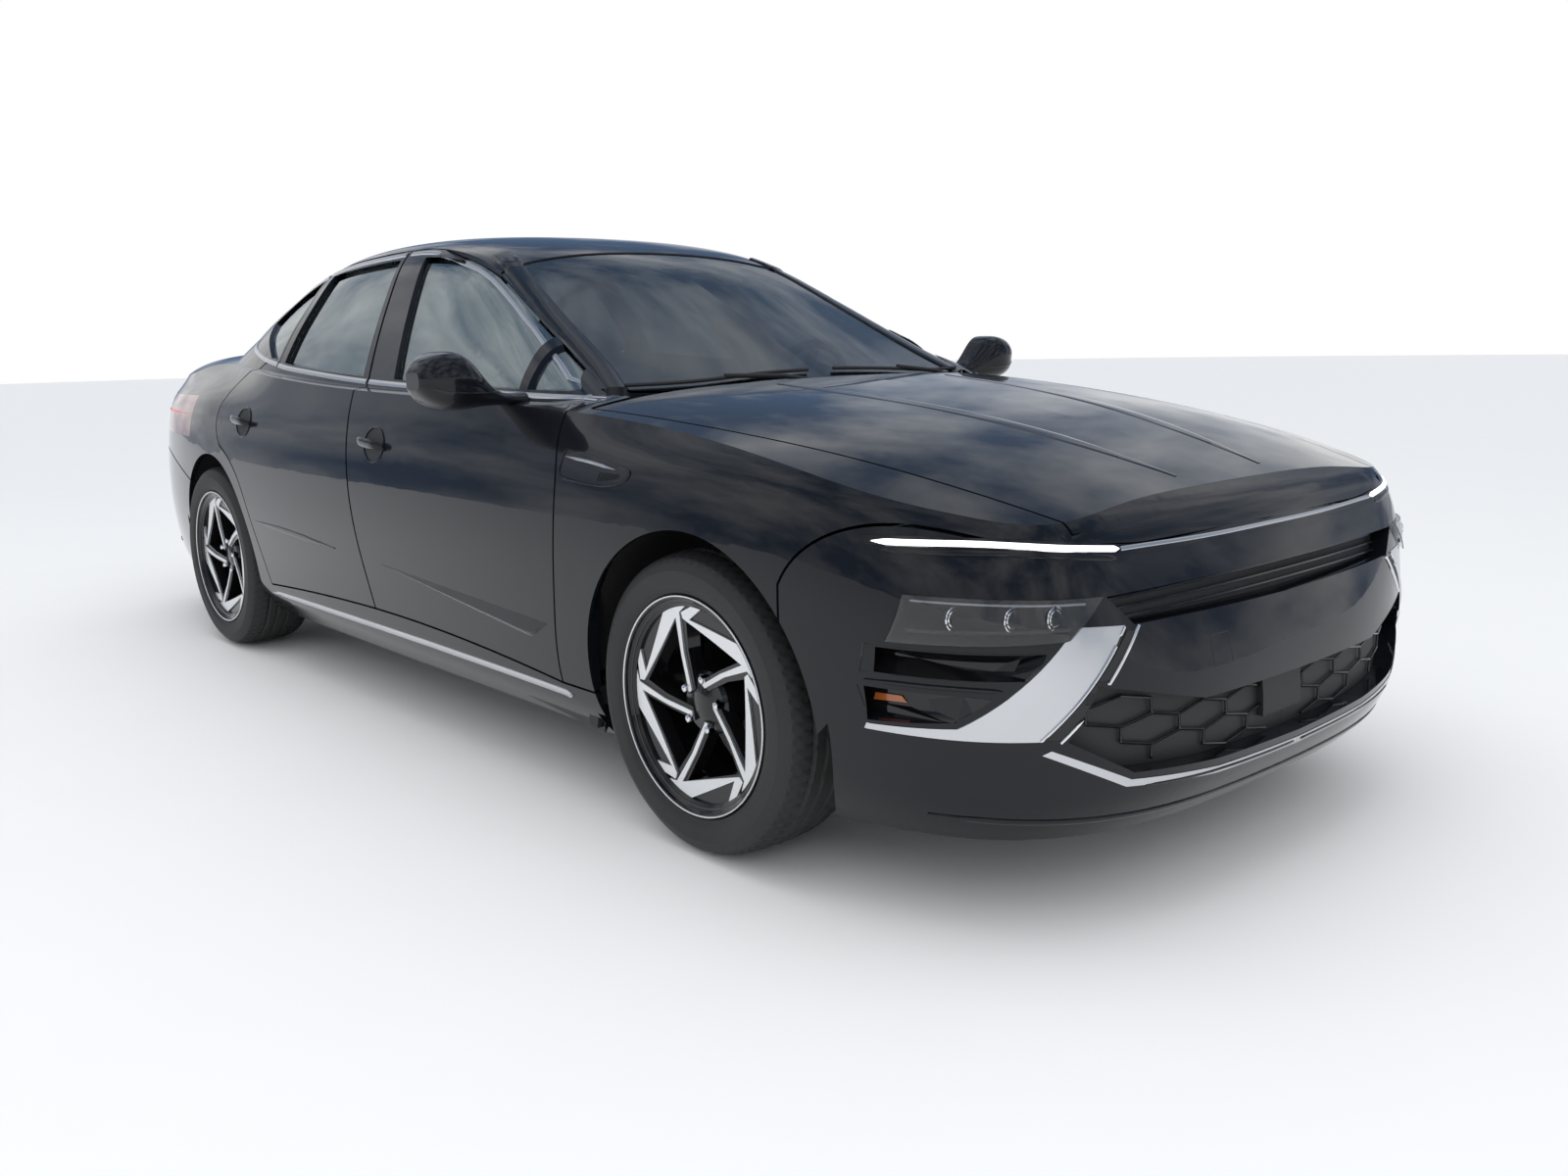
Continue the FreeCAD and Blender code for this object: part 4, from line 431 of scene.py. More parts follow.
def add_tyre(place_name, side_name, side):
    centre = Vector((AXLES[place_name], side * TRACK_HALF, AXLE_Z))
    builder = bmesh.new()
    rings = []
    acrosses = [TREAD_HALF * (1 - 2 * index / TREAD_POINTS) for index in range(TREAD_POINTS + 1)]
    for step in range(TYRE_STEPS):
        turn = 2 * math.pi * step / TYRE_STEPS
        run = list(SIDE_WALL) + [(across, tread_radius(across, step)) for across in acrosses]
        run += [(-across, radius) for across, radius in reversed(SIDE_WALL)]
        rings.append([centre + Vector((radius * math.sin(turn), across, -radius * math.cos(turn)))
                      for across, radius in run])
    loft(builder, rings, looped=True)
    piece = add_piece(f"tread_tyre_{place_name}_{side_name}", builder, RUBBER,
                      f"{place_name}_wheel_{side_name}", "tyre")
    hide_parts(f"{place_name}_tyre_{side_name}")


RIM_RUN = ((0.1035, 0.2330), (0.1085, 0.2345), (0.1100, 0.2380), (0.1100, 0.2410),
           (0.1080, 0.2428), (0.1030, 0.2428), (0.0990, 0.2230), (0.0500, 0.2220),
           (0.0350, 0.1900), (-0.0330, 0.1880), (-0.0500, 0.2215), (-0.0970, 0.2225),
           (-0.1020, 0.2425), (-0.1090, 0.2425), (-0.1100, 0.2350), (-0.0960, 0.2130),
           (-0.0550, 0.2120), (-0.0330, 0.1820), (0.0300, 0.1840), (0.0600, 0.2130),
           (0.0930, 0.2160))
RIM_STEPS = 96
SPOKES = 5
BLADE = ((0.040, -52), (0.120, -22.5), (0.204, -13.6), (0.2325, -0.5), (0.2325, -6),
         (0.2325, -12), (0.2325, -18), (0.2315, -24), (0.186, -77), (0.2315, -60.5),
         (0.2325, -65.5), (0.203, -84), (0.189, -83.6), (0.184, -81), (0.195, -18.7),
         (0.113, -29), (0.045, -65))
SPOKE_BACK = ((0.038, -40), (0.120, -17), (0.207, -9), (0.236, 2), (0.236, -8), (0.236, -18),
              (0.236, -28), (0.236, -38), (0.236, -48), (0.236, -58), (0.236, -68), (0.207, -87.5),
              (0.186, -87.5), (0.178, -81), (0.188, -22), (0.110, -34), (0.050, -76))
WHEEL_FACE = 0.0925
WHEEL_DISH = 0.020
NUT_CIRCLE = 0.057


def face_depth(radius):
    """How far out the wheel's dished face lies at a radius."""
    share = min(radius / 0.2325, 1.0)
    return WHEEL_FACE - WHEEL_DISH * (1 - share) ** 1.2


def add_slab(builder, outline, centre, side, turn, drop, thickness):
    """A flat outline laid on the wheel's dished face, as thick as said."""
    flat = bmesh.new()
    face = flat.faces.new([flat.verts.new((radius * math.sin(math.radians(angle)),
                                           radius * math.cos(math.radians(angle)), 0.0))
                           for radius, angle in outline])
    face.normal_update()
    bmesh.ops.triangulate(flat, faces=[face])
    for axis in (0, 1):
        for step in range(-14, 15):
            spot = [0.0, 0.0, 0.0]
            facing = [0.0, 0.0, 0.0]
            spot[axis] = 0.0171 * step
            facing[axis] = 1.0
            bmesh.ops.bisect_plane(flat, geom=flat.verts[:] + flat.edges[:] + flat.faces[:],
                                   plane_co=spot, plane_no=facing)
    flat.verts.index_update()
    tops, lows = [], []
    for vertex in flat.verts:
        radius = vertex.co.length
        angle = math.atan2(vertex.co.x, vertex.co.y) + turn
        for depth, kept in ((drop, tops), (drop + thickness, lows)):
            kept.append(builder.verts.new(centre + Vector(
                (radius * math.sin(angle), side * (face_depth(radius) - depth),
                 radius * math.cos(angle)))))
    for face in flat.faces:
        corners = [vertex.index for vertex in face.verts]
        builder.faces.new([tops[corner] for corner in corners])
        builder.faces.new([lows[corner] for corner in reversed(corners)])
    for edge in flat.edges:
        if edge.is_boundary:
            first, second = [vertex.index for vertex in edge.verts]
            builder.faces.new((tops[first], tops[second], lows[second], lows[first]))
    flat.free()


def add_turned(builder, run, centre, side, steps, looped=True):
    """A closed run of (outwards, radius) places turned about the axle."""
    rings = []
    for step in range(steps):
        turn = 2 * math.pi * step / steps
        rings.append([centre + Vector((radius * math.sin(turn), side * across,
                                       radius * math.cos(turn))) for across, radius in run])
    loft(builder, rings, looped=looped)


def add_wheel(place_name, side_name, side):
    centre = Vector((AXLES[place_name], side * TRACK_HALF, AXLE_Z))
    body = f"{place_name}_wheel_{side_name}"
    builder = bmesh.new()
    add_turned(builder, RIM_RUN, centre, side, RIM_STEPS)
    for spoke in range(SPOKES):
        add_slab(builder, SPOKE_BACK, centre, side, 2 * math.pi * spoke / SPOKES, 0.005, 0.034)
    hub = ((0.074, 0.0), (0.074, 0.026), (0.070, 0.034), (0.066, 0.064), (0.058, 0.072),
           (0.010, 0.074), (0.010, 0.0))
    add_turned(builder, hub, centre, side, 40)
    piece = add_piece(f"gloss_wheel_{place_name}_{side_name}", builder, GLOSS_BLACK, body, "alloy")
    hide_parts(f"{place_name}_wheel_{side_name}")
    builder = bmesh.new()
    for spoke in range(SPOKES):
        add_slab(builder, BLADE, centre, side, 2 * math.pi * spoke / SPOKES, 0.0, 0.0055)
    add_turned(builder, ((0.0975, 0.2325), (0.1000, 0.2335), (0.1000, 0.2365), (0.0960, 0.2365),
                         (0.0900, 0.2325)), centre, side, RIM_STEPS)
    add_turned(builder, ((0.1100, 0.2385), (0.1112, 0.2395), (0.1112, 0.2415), (0.1100, 0.2422)),
               centre, side, RIM_STEPS)
    add_piece(f"cut_blades_{place_name}_{side_name}", builder, CUT_ALLOY, body, "alloy")
    builder = bmesh.new()
    for nut in range(SPOKES):
        angle = math.radians(9.6) + 2 * math.pi * nut / SPOKES
        spot = centre + Vector((NUT_CIRCLE * math.sin(angle), 0, NUT_CIRCLE * math.cos(angle)))
        add_turned(builder, ((0.060, 0.0001), (0.060, 0.0105), (0.079, 0.0105), (0.084, 0.0085),
                             (0.0865, 0.0045), (0.087, 0.0001)), spot, side, 6)
    add_piece(f"wheel_nuts_{place_name}_{side_name}", builder, CHROME, body, "bright_trim")


# Trim along the sides

WINDOW_ARC_FRONT = ((1.010, 0.970), (0.960, 0.990), (0.900, 1.015), (0.825, 1.054),
                    (0.760, 1.090), (0.620, 1.162), (0.560, 1.190), (0.500, 1.217),
                    (0.435, 1.245), (0.375, 1.271), (0.310, 1.292), (0.255, 1.310),
                    (0.200, 1.325), (0.155, 1.338), (0.100, 1.350), (0.050, 1.358),
                    (-0.020, 1.366), (-0.120, 1.372), (-0.200, 1.374), (-0.270, 1.3755))
WINDOW_ARC_REAR = ((-0.298, 1.3755), (-0.575, 1.364), (-0.780, 1.348), (-0.868, 1.3375))
WINDOW_ARC_QUARTER = ((-0.880, 1.336), (-1.150, 1.272), (-1.265, 1.205), (-1.302, 1.130),
                      (-1.270, 1.094), (-1.150, 1.067), (-1.035, 1.048), (-0.912, 1.035))
BELT_FRONT = ((1.012, 0.966), (0.625, 0.973), (0.125, 0.983), (-0.132, 0.990))
BELT_REAR = ((-0.150, 0.990), (-0.375, 1.000), (-0.775, 1.022), (-0.900, 1.033))
SURROUND_HALF = 0.0095
SURROUND_RISE = 0.004


def edge_looker(side):
    """A function to the skin just under the upper edge of the front door's glass."""
    flat = ON_SIDE[side]
    knots = []
    for x, z in WINDOW_ARC_FRONT:
        for step in range(90):
            height = z + 0.012 - 0.001 * step
            spot = flat(x, height)[0]
            under, normal = flat(x, height - SURROUND_HALF)
            if spot is not None and under is not None and side * spot.y > 0.5:
                knots.append((x, under, normal))
                break

    def place(x, z):
        for (x0, spot0, normal0), (x1, spot1, normal1) in zip(knots, knots[1:]):
            if x1 <= x <= x0:
                share = (x0 - x) / (x0 - x1)
                return spot0.lerp(spot1, share), normal0.lerp(normal1, share).normalized()
        return None, None
    return place


def oval(centre, half_long, half_tall, count=32, slant=0.0):
    points = []
    for step in range(count):
        turn = 2 * math.pi * step / count
        a, b = half_long * math.cos(turn), half_tall * math.sin(turn)
        points.append((centre[0] + a * math.cos(slant) - b * math.sin(slant),
                       centre[1] + a * math.sin(slant) + b * math.cos(slant)))
    return points


def add_handle(side_name, side, door, x, z):
    place = ON_SIDE[side]
    body = f"{door}_{side_name}"
    # The cup is a flat matt black patch laid on the door skin: painted shade standing in for the
    # recessed dish, which the skin doesn't have.
    patch(f"handle_cup_{door}_{side_name}", place, oval((x, z), 0.060, 0.046, slant=-0.15), 0.0008,
          MATT_BLACK, body, "black_trim", cell=0.012)
    ring = oval((x, z), 0.062, 0.048, slant=-0.15)
    strip(f"handle_rim_{door}_{side_name}", place, ring + ring[:1], 0.0034, 0.0036, PAINT, body,
          "paint", steps=96)
    builder = bmesh.new()
    rings = []
    for step in range(21):
        share = step / 20
        along = x - 0.072 + 0.144 * share
        spot, normal = place(along, z + 0.004 - 0.008 * share)
        bow = 0.024 * (1 - (2 * share - 1) ** 6) + 0.003
        tall = 0.0140 * (1 - 0.45 * abs(2 * share - 1) ** 3)
        deep = 0.0062
        rings.append([spot + normal * (bow + deep * math.cos(2 * math.pi * k / 14))
                      + Vector((0, 0, 1)) * tall * math.sin(2 * math.pi * k / 14)
                      for k in range(14)])
    loft(builder, rings)
    add_piece(f"door_handle_{door}_{side_name}", builder, PAINT, body, "paint")


def add_side_trim(side_name, side):
    place = ON_SIDE[side]
    bright = (SATIN_SILVER, "bright_trim")
    for name, run, body in (
            ("arc_front", WINDOW_ARC_FRONT, f"front_door_{side_name}"),
            ("arc_rear", WINDOW_ARC_REAR, f"rear_door_{side_name}"),
            ("arc_quarter", WINDOW_ARC_QUARTER, "shell"),
            ("belt_front", BELT_FRONT, f"front_door_{side_name}"),
            ("belt_rear", BELT_REAR, f"rear_door_{side_name}")):
        spot = edge_looker(side) if name == "arc_front" else place
        strip(f"window_{name}_{side_name}", spot, run, SURROUND_HALF, SURROUND_RISE, bright[0],
              body, bright[1], steps=max(90, len(run) * 14))
    strip(f"sill_strip_{side_name}", place, ((-0.84, 0.262), (-0.4, 0.268), (0.3, 0.272),
          (0.95, 0.268), (1.06, 0.262)), 0.010, 0.004, *[SATIN_SILVER, "shell", "bright_trim"],
          steps=60, taper=3)
    add_handle(side_name, side, "rear_door", -0.964, 0.843)
    add_handle(side_name, side, "front_door", 0.087, 0.820)
    vent = ((1.072, 0.858), (1.180, 0.850), (1.300, 0.832), (1.338, 0.822), (1.318, 0.800),
            (1.250, 0.788), (1.150, 0.790), (1.072, 0.802))
    patch(f"vent_bed_{side_name}", place, vent, 0.0012, GLOSS_BLACK, "shell", "black_trim",
          cell=0.02)
    rim = list(vent) + [vent[0]]
    strip(f"vent_rim_{side_name}", place, rim, 0.0030, 0.0040, PAINT, "shell", "paint", steps=110)
    strip(f"vent_blade_{side_name}", place, ((1.082, 0.842), (1.180, 0.836), (1.290, 0.824)),
          0.0045, 0.0045, SATIN_SILVER, "shell", "bright_trim", steps=24, taper=6)
    builder = bmesh.new()
    for rib in range(9):
        x = 1.225 + 0.009 * rib
        add_strip(builder, place, ((x, 0.796 + 0.0012 * rib), (x + 0.006, 0.816)), 0.0016, 0.003,
                  steps=4)
    add_piece(f"vent_ribs_{side_name}", builder, GLOSS_BLACK, "shell", "black_trim")
    builder = bmesh.new()
    flap = ((1.150, 0.30), (1.100, 0.30), (1.094, 0.195), (1.128, 0.192))
    rings = [[Vector((x, side * y, z)) for x, z in flap] for y in (0.735, 0.800, 0.872)]
    loft(builder, rings)
    add_piece(f"mud_flap_{side_name}", builder, MATT_BLACK, "shell", "dark_plastic")


# The nose

def add_light_bar():
    for side_name, side in SIDES:
        run = [(side * y, z) for y, z in ((0.852, 0.7405), (0.750, 0.7405), (0.620, 0.7275),
                                          (0.505, 0.715))]
        strip(f"day_light_{side_name}", ON_NOSE, run, 0.0065, 0.0025, WHITE_GLOW, "shell", "lamp",
              steps=60, taper=2)
        run = [(side * y, z) for y, z in ((0.850, 0.726), (0.745, 0.725), (0.620, 0.712),
                                          (0.520, 0.700))]
        strip(f"light_bar_base_{side_name}", ON_NOSE, run, 0.006, 0.002, GLOSS_BLACK, "shell",
              "black_trim", steps=50, taper=3)
    run = ((0.500, 0.7145), (0.240, 0.7095), (0.0, 0.7090), (-0.240, 0.7095), (-0.500, 0.7145))
    strip("light_bar_middle", ON_NOSE, run, 0.0048, 0.002, SATIN_SILVER, "shell", "lamp", steps=80)


LAMP_OUTLINE = ((0.846, 0.650), (0.587, 0.639), (0.664, 0.570), (0.861, 0.562))


def add_headlamp(side_name, side):
    """Reflector modules and brows on the lamp's dark body, under a clear lens."""
    outline = [(side * y, z) for y, z in LAMP_OUTLINE]
    patch(f"lamp_lens_{side_name}", ON_LAMPS, outline, 0.010, LAMP_LENS, "shell", "lamp",
          cell=0.03, sink=-0.008)
    builder = bmesh.new()
    for index in range(3):
        y, z = side * (0.810 - 0.062 * index), 0.612
        spot, normal = ON_LAMPS(y, z)
        axis = Vector((1, 0, 0))
        for ring_radius, depth in ((0.021, 0.006), (0.015, 0.0075)):
            path = [spot + axis * depth * 0.6 + ring_radius * (
                math.cos(2 * math.pi * k / 24) * Vector((0, 1, 0))
                + math.sin(2 * math.pi * k / 24) * Vector((0, 0, 1))) for k in range(25)]
            add_tube(builder, path, 0.0016, 6)
    add_piece(f"lamp_modules_{side_name}", builder, CHROME, "shell", "lamp")
    run = [(side * y, z) for y, z in ((0.848, 0.586), (0.760, 0.589), (0.660, 0.590))]
    strip(f"lamp_shelf_{side_name}", ON_LAMPS, run, 0.004, 0.004, CAST_METAL, "shell", "lamp",
          steps=24)
    run = [(side * y, z) for y, z in ((0.842, 0.640), (0.740, 0.636), (0.625, 0.631))]
    strip(f"lamp_brow_{side_name}", ON_LAMPS, run, 0.0035, 0.004, SATIN_SILVER, "shell", "lamp",
          steps=24)


def add_corner(side_name, side):
    slot_run = [(side * y, z) for y, z in ((0.875, 0.470), (0.800, 0.470), (0.772, 0.466),
                                           (0.812, 0.416), (0.866, 0.409))]
    patch(f"corner_bed_{side_name}", ON_NOSE, slot_run, 0.001, GLOSS_BLACK, "shell", "black_trim",
          cell=0.02)
    marker = [(side * y, z) for y, z in ((0.848, 0.448), (0.816, 0.449), (0.812, 0.437),
                                         (0.845, 0.432))]
    patch(f"corner_lamp_{side_name}", ON_NOSE, marker, 0.0035, AMBER, "shell", "lamp", cell=0.015)
    slot_run = [(side * y, z) for y, z in ((0.874, 0.552), (0.705, 0.550), (0.745, 0.500),
                                           (0.875, 0.498))]
    patch(f"side_slot_{side_name}", ON_NOSE, slot_run, 0.001, GLOSS_BLACK, "shell", "black_trim",
          cell=0.02)
    run = [(side * y, z) for y, z in ((0.872, 0.484), (0.810, 0.484), (0.760, 0.482))]
    strip(f"slot_lip_{side_name}", ON_NOSE, run, 0.0045, 0.005, PAINT, "shell", "paint", steps=30,
          taper=4)
    run = [(side * y, z) for y, z in ((0.855, 0.512), (0.842, 0.538), (0.800, 0.540))]
    strip(f"slot_glint_{side_name}", ON_NOSE, run, 0.0035, 0.003, SATIN_SILVER, "shell",
          "bright_trim", steps=20, taper=4)
    inset = [(side * y, z) for y, z in ((0.535, 0.572), (0.506, 0.569), (0.672, 0.388),
                                        (0.702, 0.390))]
    patch(f"inset_strip_{side_name}", ON_NOSE, inset, 0.0015, MATT_BLACK, "shell", "dark_plastic",
          cell=0.02)
    run = [(side * y, z) for y, z in ((0.503, 0.578), (0.588, 0.482), (0.676, 0.382))]
    strip(f"inset_edge_{side_name}", ON_NOSE, run, 0.0035, 0.004, CHROME, "shell", "bright_trim",
          steps=30)
    run = [(side * y, z) for y, z in ((0.540, 0.580), (0.624, 0.484), (0.708, 0.388))]
    strip(f"panel_edge_{side_name}", ON_NOSE, run, 0.0022, 0.004, CHROME, "shell", "bright_trim",
          steps=30)


PILLAR_RUN = ((1.000, 0.672), (0.940, 0.645), (0.825, 0.612), (0.700, 0.591), (0.625, 0.582),
              (0.500, 0.563), (0.375, 0.541), (0.255, 0.515), (0.155, 0.490))


def add_crease(name, place, start, end, first_width, last_width, body):
    """A pressed facet low on a door that widens along its run and looks a little upwards."""
    rings = []
    for step in range(41):
        share = step / 40
        x = start[0] + (end[0] - start[0]) * share
        z = start[1] + (end[1] - start[1]) * share
        width = first_width + (last_width - first_width) * share
        width = max(0.004, width * min(1.0, 12 * (1 - share)))
        high, normal = place(x, z)
        low = place(x, z - width)[0]
        under = place(x, z - 1.4 * width)[0]
        edge = low + normal * 0.26 * width
        rings.append([high + normal * 0.0002, edge, under + normal * 0.0002,
                      under - normal * 0.001, high - normal * 0.001])
    builder = bmesh.new()
    loft(builder, rings)
    add_piece(name, builder, PAINT, body, "paint")


def add_bonnet_lip():
    """The bonnet's front edge, brought down to the light bar."""
    rings = []
    for step in range(-26, 27):
        y = 0.0242 * step
        low_z = 0.7195 + 0.019 * max(0.0, (abs(y) - 0.42) / 0.21) ** 1.3
        low = ON_NOSE(y, low_z - 0.006)[0]
        high = ON_NOSE(y, 0.7555)[0]
        if low is None or high is None:
            continue
        low = Vector((low.x - 0.0035, y, low_z))
        high = Vector((high.x + 0.0002, y, 0.7545))
        middle = (low + high) / 2 + Vector((0.0022, 0.0, 0.0))
        back = Vector((-0.022, 0.0, 0.0))
        rings.append([high, middle, low, low + back * 0.5, middle + back, high + back])
    builder = bmesh.new()
    loft(builder, rings)
    add_piece("bonnet_lip", builder, PAINT, "bonnet", "paint")
    for side_name, side in SIDES:
        run = [(x, side * y) for x, y in ((1.180, 0.318), (1.325, 0.302), (1.700, 0.250),
                                          (2.000, 0.203), (2.230, 0.166))]
        strip(f"bonnet_crease_{side_name}", ON_TOP, run, 0.030, 0.0016, PAINT, "bonnet", "paint",
              steps=60, taper=20, sink=0.001)
        place = ON_SIDE[side]
        add_crease(f"door_crease_front_{side_name}", place, (0.120, 0.478), (0.995, 0.437), 0.000,
                   0.040, f"front_door_{side_name}")
        strip(f"door_crease_rear_{side_name}", place, ((-0.870, 0.512), (-0.550, 0.503),
              (-0.200, 0.489)), 0.010, 0.0028, PAINT, f"rear_door_{side_name}", "paint", steps=40,
              taper=16, sink=0.001)
        run = [(x, side * y) for x, y in PILLAR_RUN]
        strip(f"pillar_cover_{side_name}", ON_TOP, run, 0.034, 0.007, PAINT, "shell", "paint",
              steps=70, sink=0.001)


MESH_AREA = ((-0.664, 0.382), (-0.606, 0.480), (-0.345, 0.418), (0.345, 0.418), (0.606, 0.480),
             (0.664, 0.382), (0.530, 0.306), (0.300, 0.290), (-0.300, 0.290), (-0.530, 0.306))


def inside(point, outline):
    found = False
    for (y0, z0), (y1, z1) in zip(outline, outline[1:] + outline[:1]):
        if (z0 > point[1]) != (z1 > point[1]):
            if point[0] < (y1 - y0) * (point[1] - z0) / (z1 - z0) + y0:
                found = not found
    return found


def add_grille_mesh():
    """Flattened hexagon bars over the lower opening and slats over the upper one."""
    builder = bmesh.new()
    wide, tall = 0.150, 0.060
    for row in range(-1, 6):
        for column in range(-6, 7):
            y = column * wide + (wide / 2 if row % 2 else 0.0)
            z = 0.280 + row * tall * 0.75
            corners = [(y - wide / 2, z - tall / 4), (y - wide / 2, z + tall / 4),
                       (y, z + tall / 2), (y + wide / 2, z + tall / 4)]
            for first, second in zip(corners, corners[1:]):
                points = [(first[0] + (second[0] - first[0]) * k / 3,
                           first[1] + (second[1] - first[1]) * k / 3) for k in range(4)]
                if not all(inside(point, MESH_AREA) for point in points):
                    continue
                spots = [ON_GRILLE(*point)[0] for point in points]
                if any(spot is None for spot in spots):
                    continue
                add_tube(builder, [spot + Vector((0.006, 0, 0)) for spot in spots], 0.0030, 6)
    add_piece("grille_bars", builder, GLOSS_BLACK, "shell", "black_trim")
    builder = bmesh.new()
    for z, reach in ((0.621, 0.545), (0.603, 0.530), (0.586, 0.510)):
        add_strip(builder, ON_GRILLE, ((-reach, z), (-0.25, z), (0.25, z), (reach, z)), 0.0035,
                  0.014, steps=60)
    add_piece("grille_slats", builder, GLOSS_BLACK, "shell", "black_trim")
    patch("radar_cover", ON_GRILLE, ((-0.100, 0.326), (-0.100, 0.412), (0.055, 0.412),
          (0.055, 0.326)), 0.014, MATT_BLACK, "shell", "black_trim", cell=0.03)
    square = [(-0.305, 0.470), (-0.305, 0.530), (-0.245, 0.530), (-0.245, 0.470), (-0.305, 0.470)]
    builder = bmesh.new()
    for first, second in zip(square, square[1:]):
        add_strip(builder, ON_NOSE, (first, second), 0.0012, 0.0006, steps=6)
    add_piece("tow_cover_seam", builder, MATT_BLACK, "shell", "dark_plastic")
    strip("low_slot", ON_NOSE, ((-0.50, 0.2755), (-0.30, 0.2655), (0.0, 0.2600), (0.30, 0.2655),
          (0.50, 0.2755)), 0.0028, 0.0022, GLOSS_BLACK, "shell", "black_trim", steps=70)
    strip("chin_lip", ON_NOSE, ((-0.800, 0.226), (-0.600, 0.214), (-0.300, 0.204), (0.0, 0.200),
          (0.300, 0.204), (0.600, 0.214), (0.800, 0.226)), 0.0075, 0.0035, PAINT, "shell", "paint",
          steps=90, taper=4)


# Glass edges, wipers and mirrors

def add_wipers():
    for name, blade, pivot, middle in (
            ("near", ((0.940, -0.620), (0.975, -0.400), (0.984, -0.180), (0.986, -0.040)),
             (1.040, 0.020), (0.978, -0.330)),
            ("far", ((0.984, 0.060), (0.982, 0.220), (0.966, 0.460), (0.930, 0.640)),
             (1.015, 0.600), (0.972, 0.330))):
        builder = bmesh.new()
        path = []
        for x, y in smooth_run(blade, 24):
            spot, normal = ON_TOP(x, y)
            if spot is not None:
                path.append(spot + normal * 0.009)
        add_tube(builder, path, 0.0055, 6)
        start, start_normal = ON_TOP(*pivot)
        end, end_normal = ON_TOP(*middle)
        if start is not None and end is not None:
            add_tube(builder, [start, start + start_normal * 0.022,
                               (start + end) / 2 + end_normal * 0.030, end + end_normal * 0.014],
                     0.0065, 8)
        add_piece(f"wiper_{name}", builder, MATT_BLACK, "shell", "dark_plastic")


def add_cowl():
    builder = bmesh.new()
    for rib in range(-16, 17):
        y = 0.038 * rib
        add_strip(builder, ON_TOP, ((1.052, y), (1.086, y)), 0.004, 0.0025, steps=3)
    add_piece("cowl_ribs", builder, MATT_BLACK, "shell", "dark_plastic")


def add_mirror(side_name, side):
    tree = skin([f"mirror_{side_name}"])
    behind = looker(tree, lambda y, z: (0.5, y, z), (1, 0, 0))
    outline = [(side * (0.966 + 0.090 * a), 1.022 + 0.048 * b) for a, b in
               ((-1.0, 0.55), (-0.86, 0.9), (-0.5, 1.0), (0.5, 0.95), (0.86, 0.72), (1.0, 0.3),
                (0.98, -0.4), (0.8, -0.85), (0.4, -1.0), (-0.6, -1.0), (-0.92, -0.8),
                (-1.0, -0.3))]
    patch(f"mirror_glass_{side_name}", behind, outline, 0.001, MIRROR_GLASS,
          f"front_door_{side_name}", "glazing", cell=0.03)
    ahead = looker(tree, lambda y, z: (1.2, y, z), (-1, 0, 0))
    run = [(side * y, z) for y, z in ((0.880, 0.985), (0.960, 0.984), (1.040, 0.990),
                                      (1.080, 1.002))]
    strip(f"mirror_seam_{side_name}", ahead, run, 0.0035, 0.0012, GLOSS_BLACK,
          f"front_door_{side_name}", "black_trim", steps=30, taper=4)


# The tail

def add_tail():
    for side_name, side in SIDES:
        run = [(side * y, z) for y, z in ((0.658, 0.845), (0.740, 0.847), (0.860, 0.850))]
        strip(f"tail_light_high_{side_name}", ON_TAIL, run, 0.006, 0.003, RED_GLOW, "shell",
              "tail_lamp", steps=30, taper=3)
        place = ON_SIDE[side]
        strip(f"tail_light_side_{side_name}", place, ((-1.62, 0.838), (-1.85, 0.842),
              (-2.10, 0.846), (-2.26, 0.848)), 0.005, 0.003, RED_GLOW, "shell", "tail_lamp",
              steps=50, taper=4)
        run = [(side * y, z) for y, z in ((0.560, 0.300), (0.700, 0.305), (0.800, 0.312))]
        strip(f"tail_reflector_{side_name}", ON_TAIL, run, 0.012, 0.003, RED_LENS, "shell",
              "tail_lamp", steps=20)
        tip = bmesh.new()
        centre_y = side * 0.560
        rings = []
        for x, wide, tall in ((-2.350, 0.062, 0.030), (-2.424, 0.066, 0.033),
                              (-2.430, 0.063, 0.030), (-2.424, 0.058, 0.026),
                              (-2.360, 0.056, 0.024)):
            rings.append([Vector((x, centre_y + wide * math.cos(2 * math.pi * k / 28),
                                  0.232 + tall * math.sin(2 * math.pi * k / 28)))
                          for k in range(28)])
        loft(tip, rings)
        add_piece(f"exhaust_tip_{side_name}", tip, CHROME, "shell", "bright_trim")
    patch("plate_bed", ON_TAIL, ((-0.262, 0.520), (-0.262, 0.632), (0.262, 0.632),
          (0.262, 0.520)), 0.0014, MATT_BLACK, "shell", "dark_plastic", cell=0.04)
    strip("boot_edge", ON_TAIL, ((-0.50, 0.925), (-0.25, 0.930), (0.0, 0.931), (0.25, 0.930),
          (0.50, 0.925)), 0.004, 0.002, GLOSS_BLACK, "boot_lid", "black_trim", steps=40, taper=4)
    strip("lid_light", ON_TAIL, ((-0.640, 0.845), (-0.50, 0.851), (-0.25, 0.854), (0.0, 0.854),
          (0.25, 0.854), (0.50, 0.851), (0.640, 0.845)), 0.005, 0.0006, RED_GLOW, "boot_lid",
          "tail_lamp", steps=60)
    patch("diffuser", ON_TAIL, ((-0.62, 0.185), (-0.66, 0.262), (-0.45, 0.292), (0.45, 0.292),
          (0.66, 0.262), (0.62, 0.185)), 0.0025, MATT_BLACK, "shell", "dark_plastic", cell=0.05)
    builder = bmesh.new()
    for fin in range(-2, 3):
        add_strip(builder, ON_TAIL, ((0.15 * fin, 0.19), (0.15 * fin, 0.28)), 0.004, 0.018,
                  steps=6)
    add_piece("diffuser_fins", builder, GLOSS_BLACK, "shell", "black_trim")


# Seats

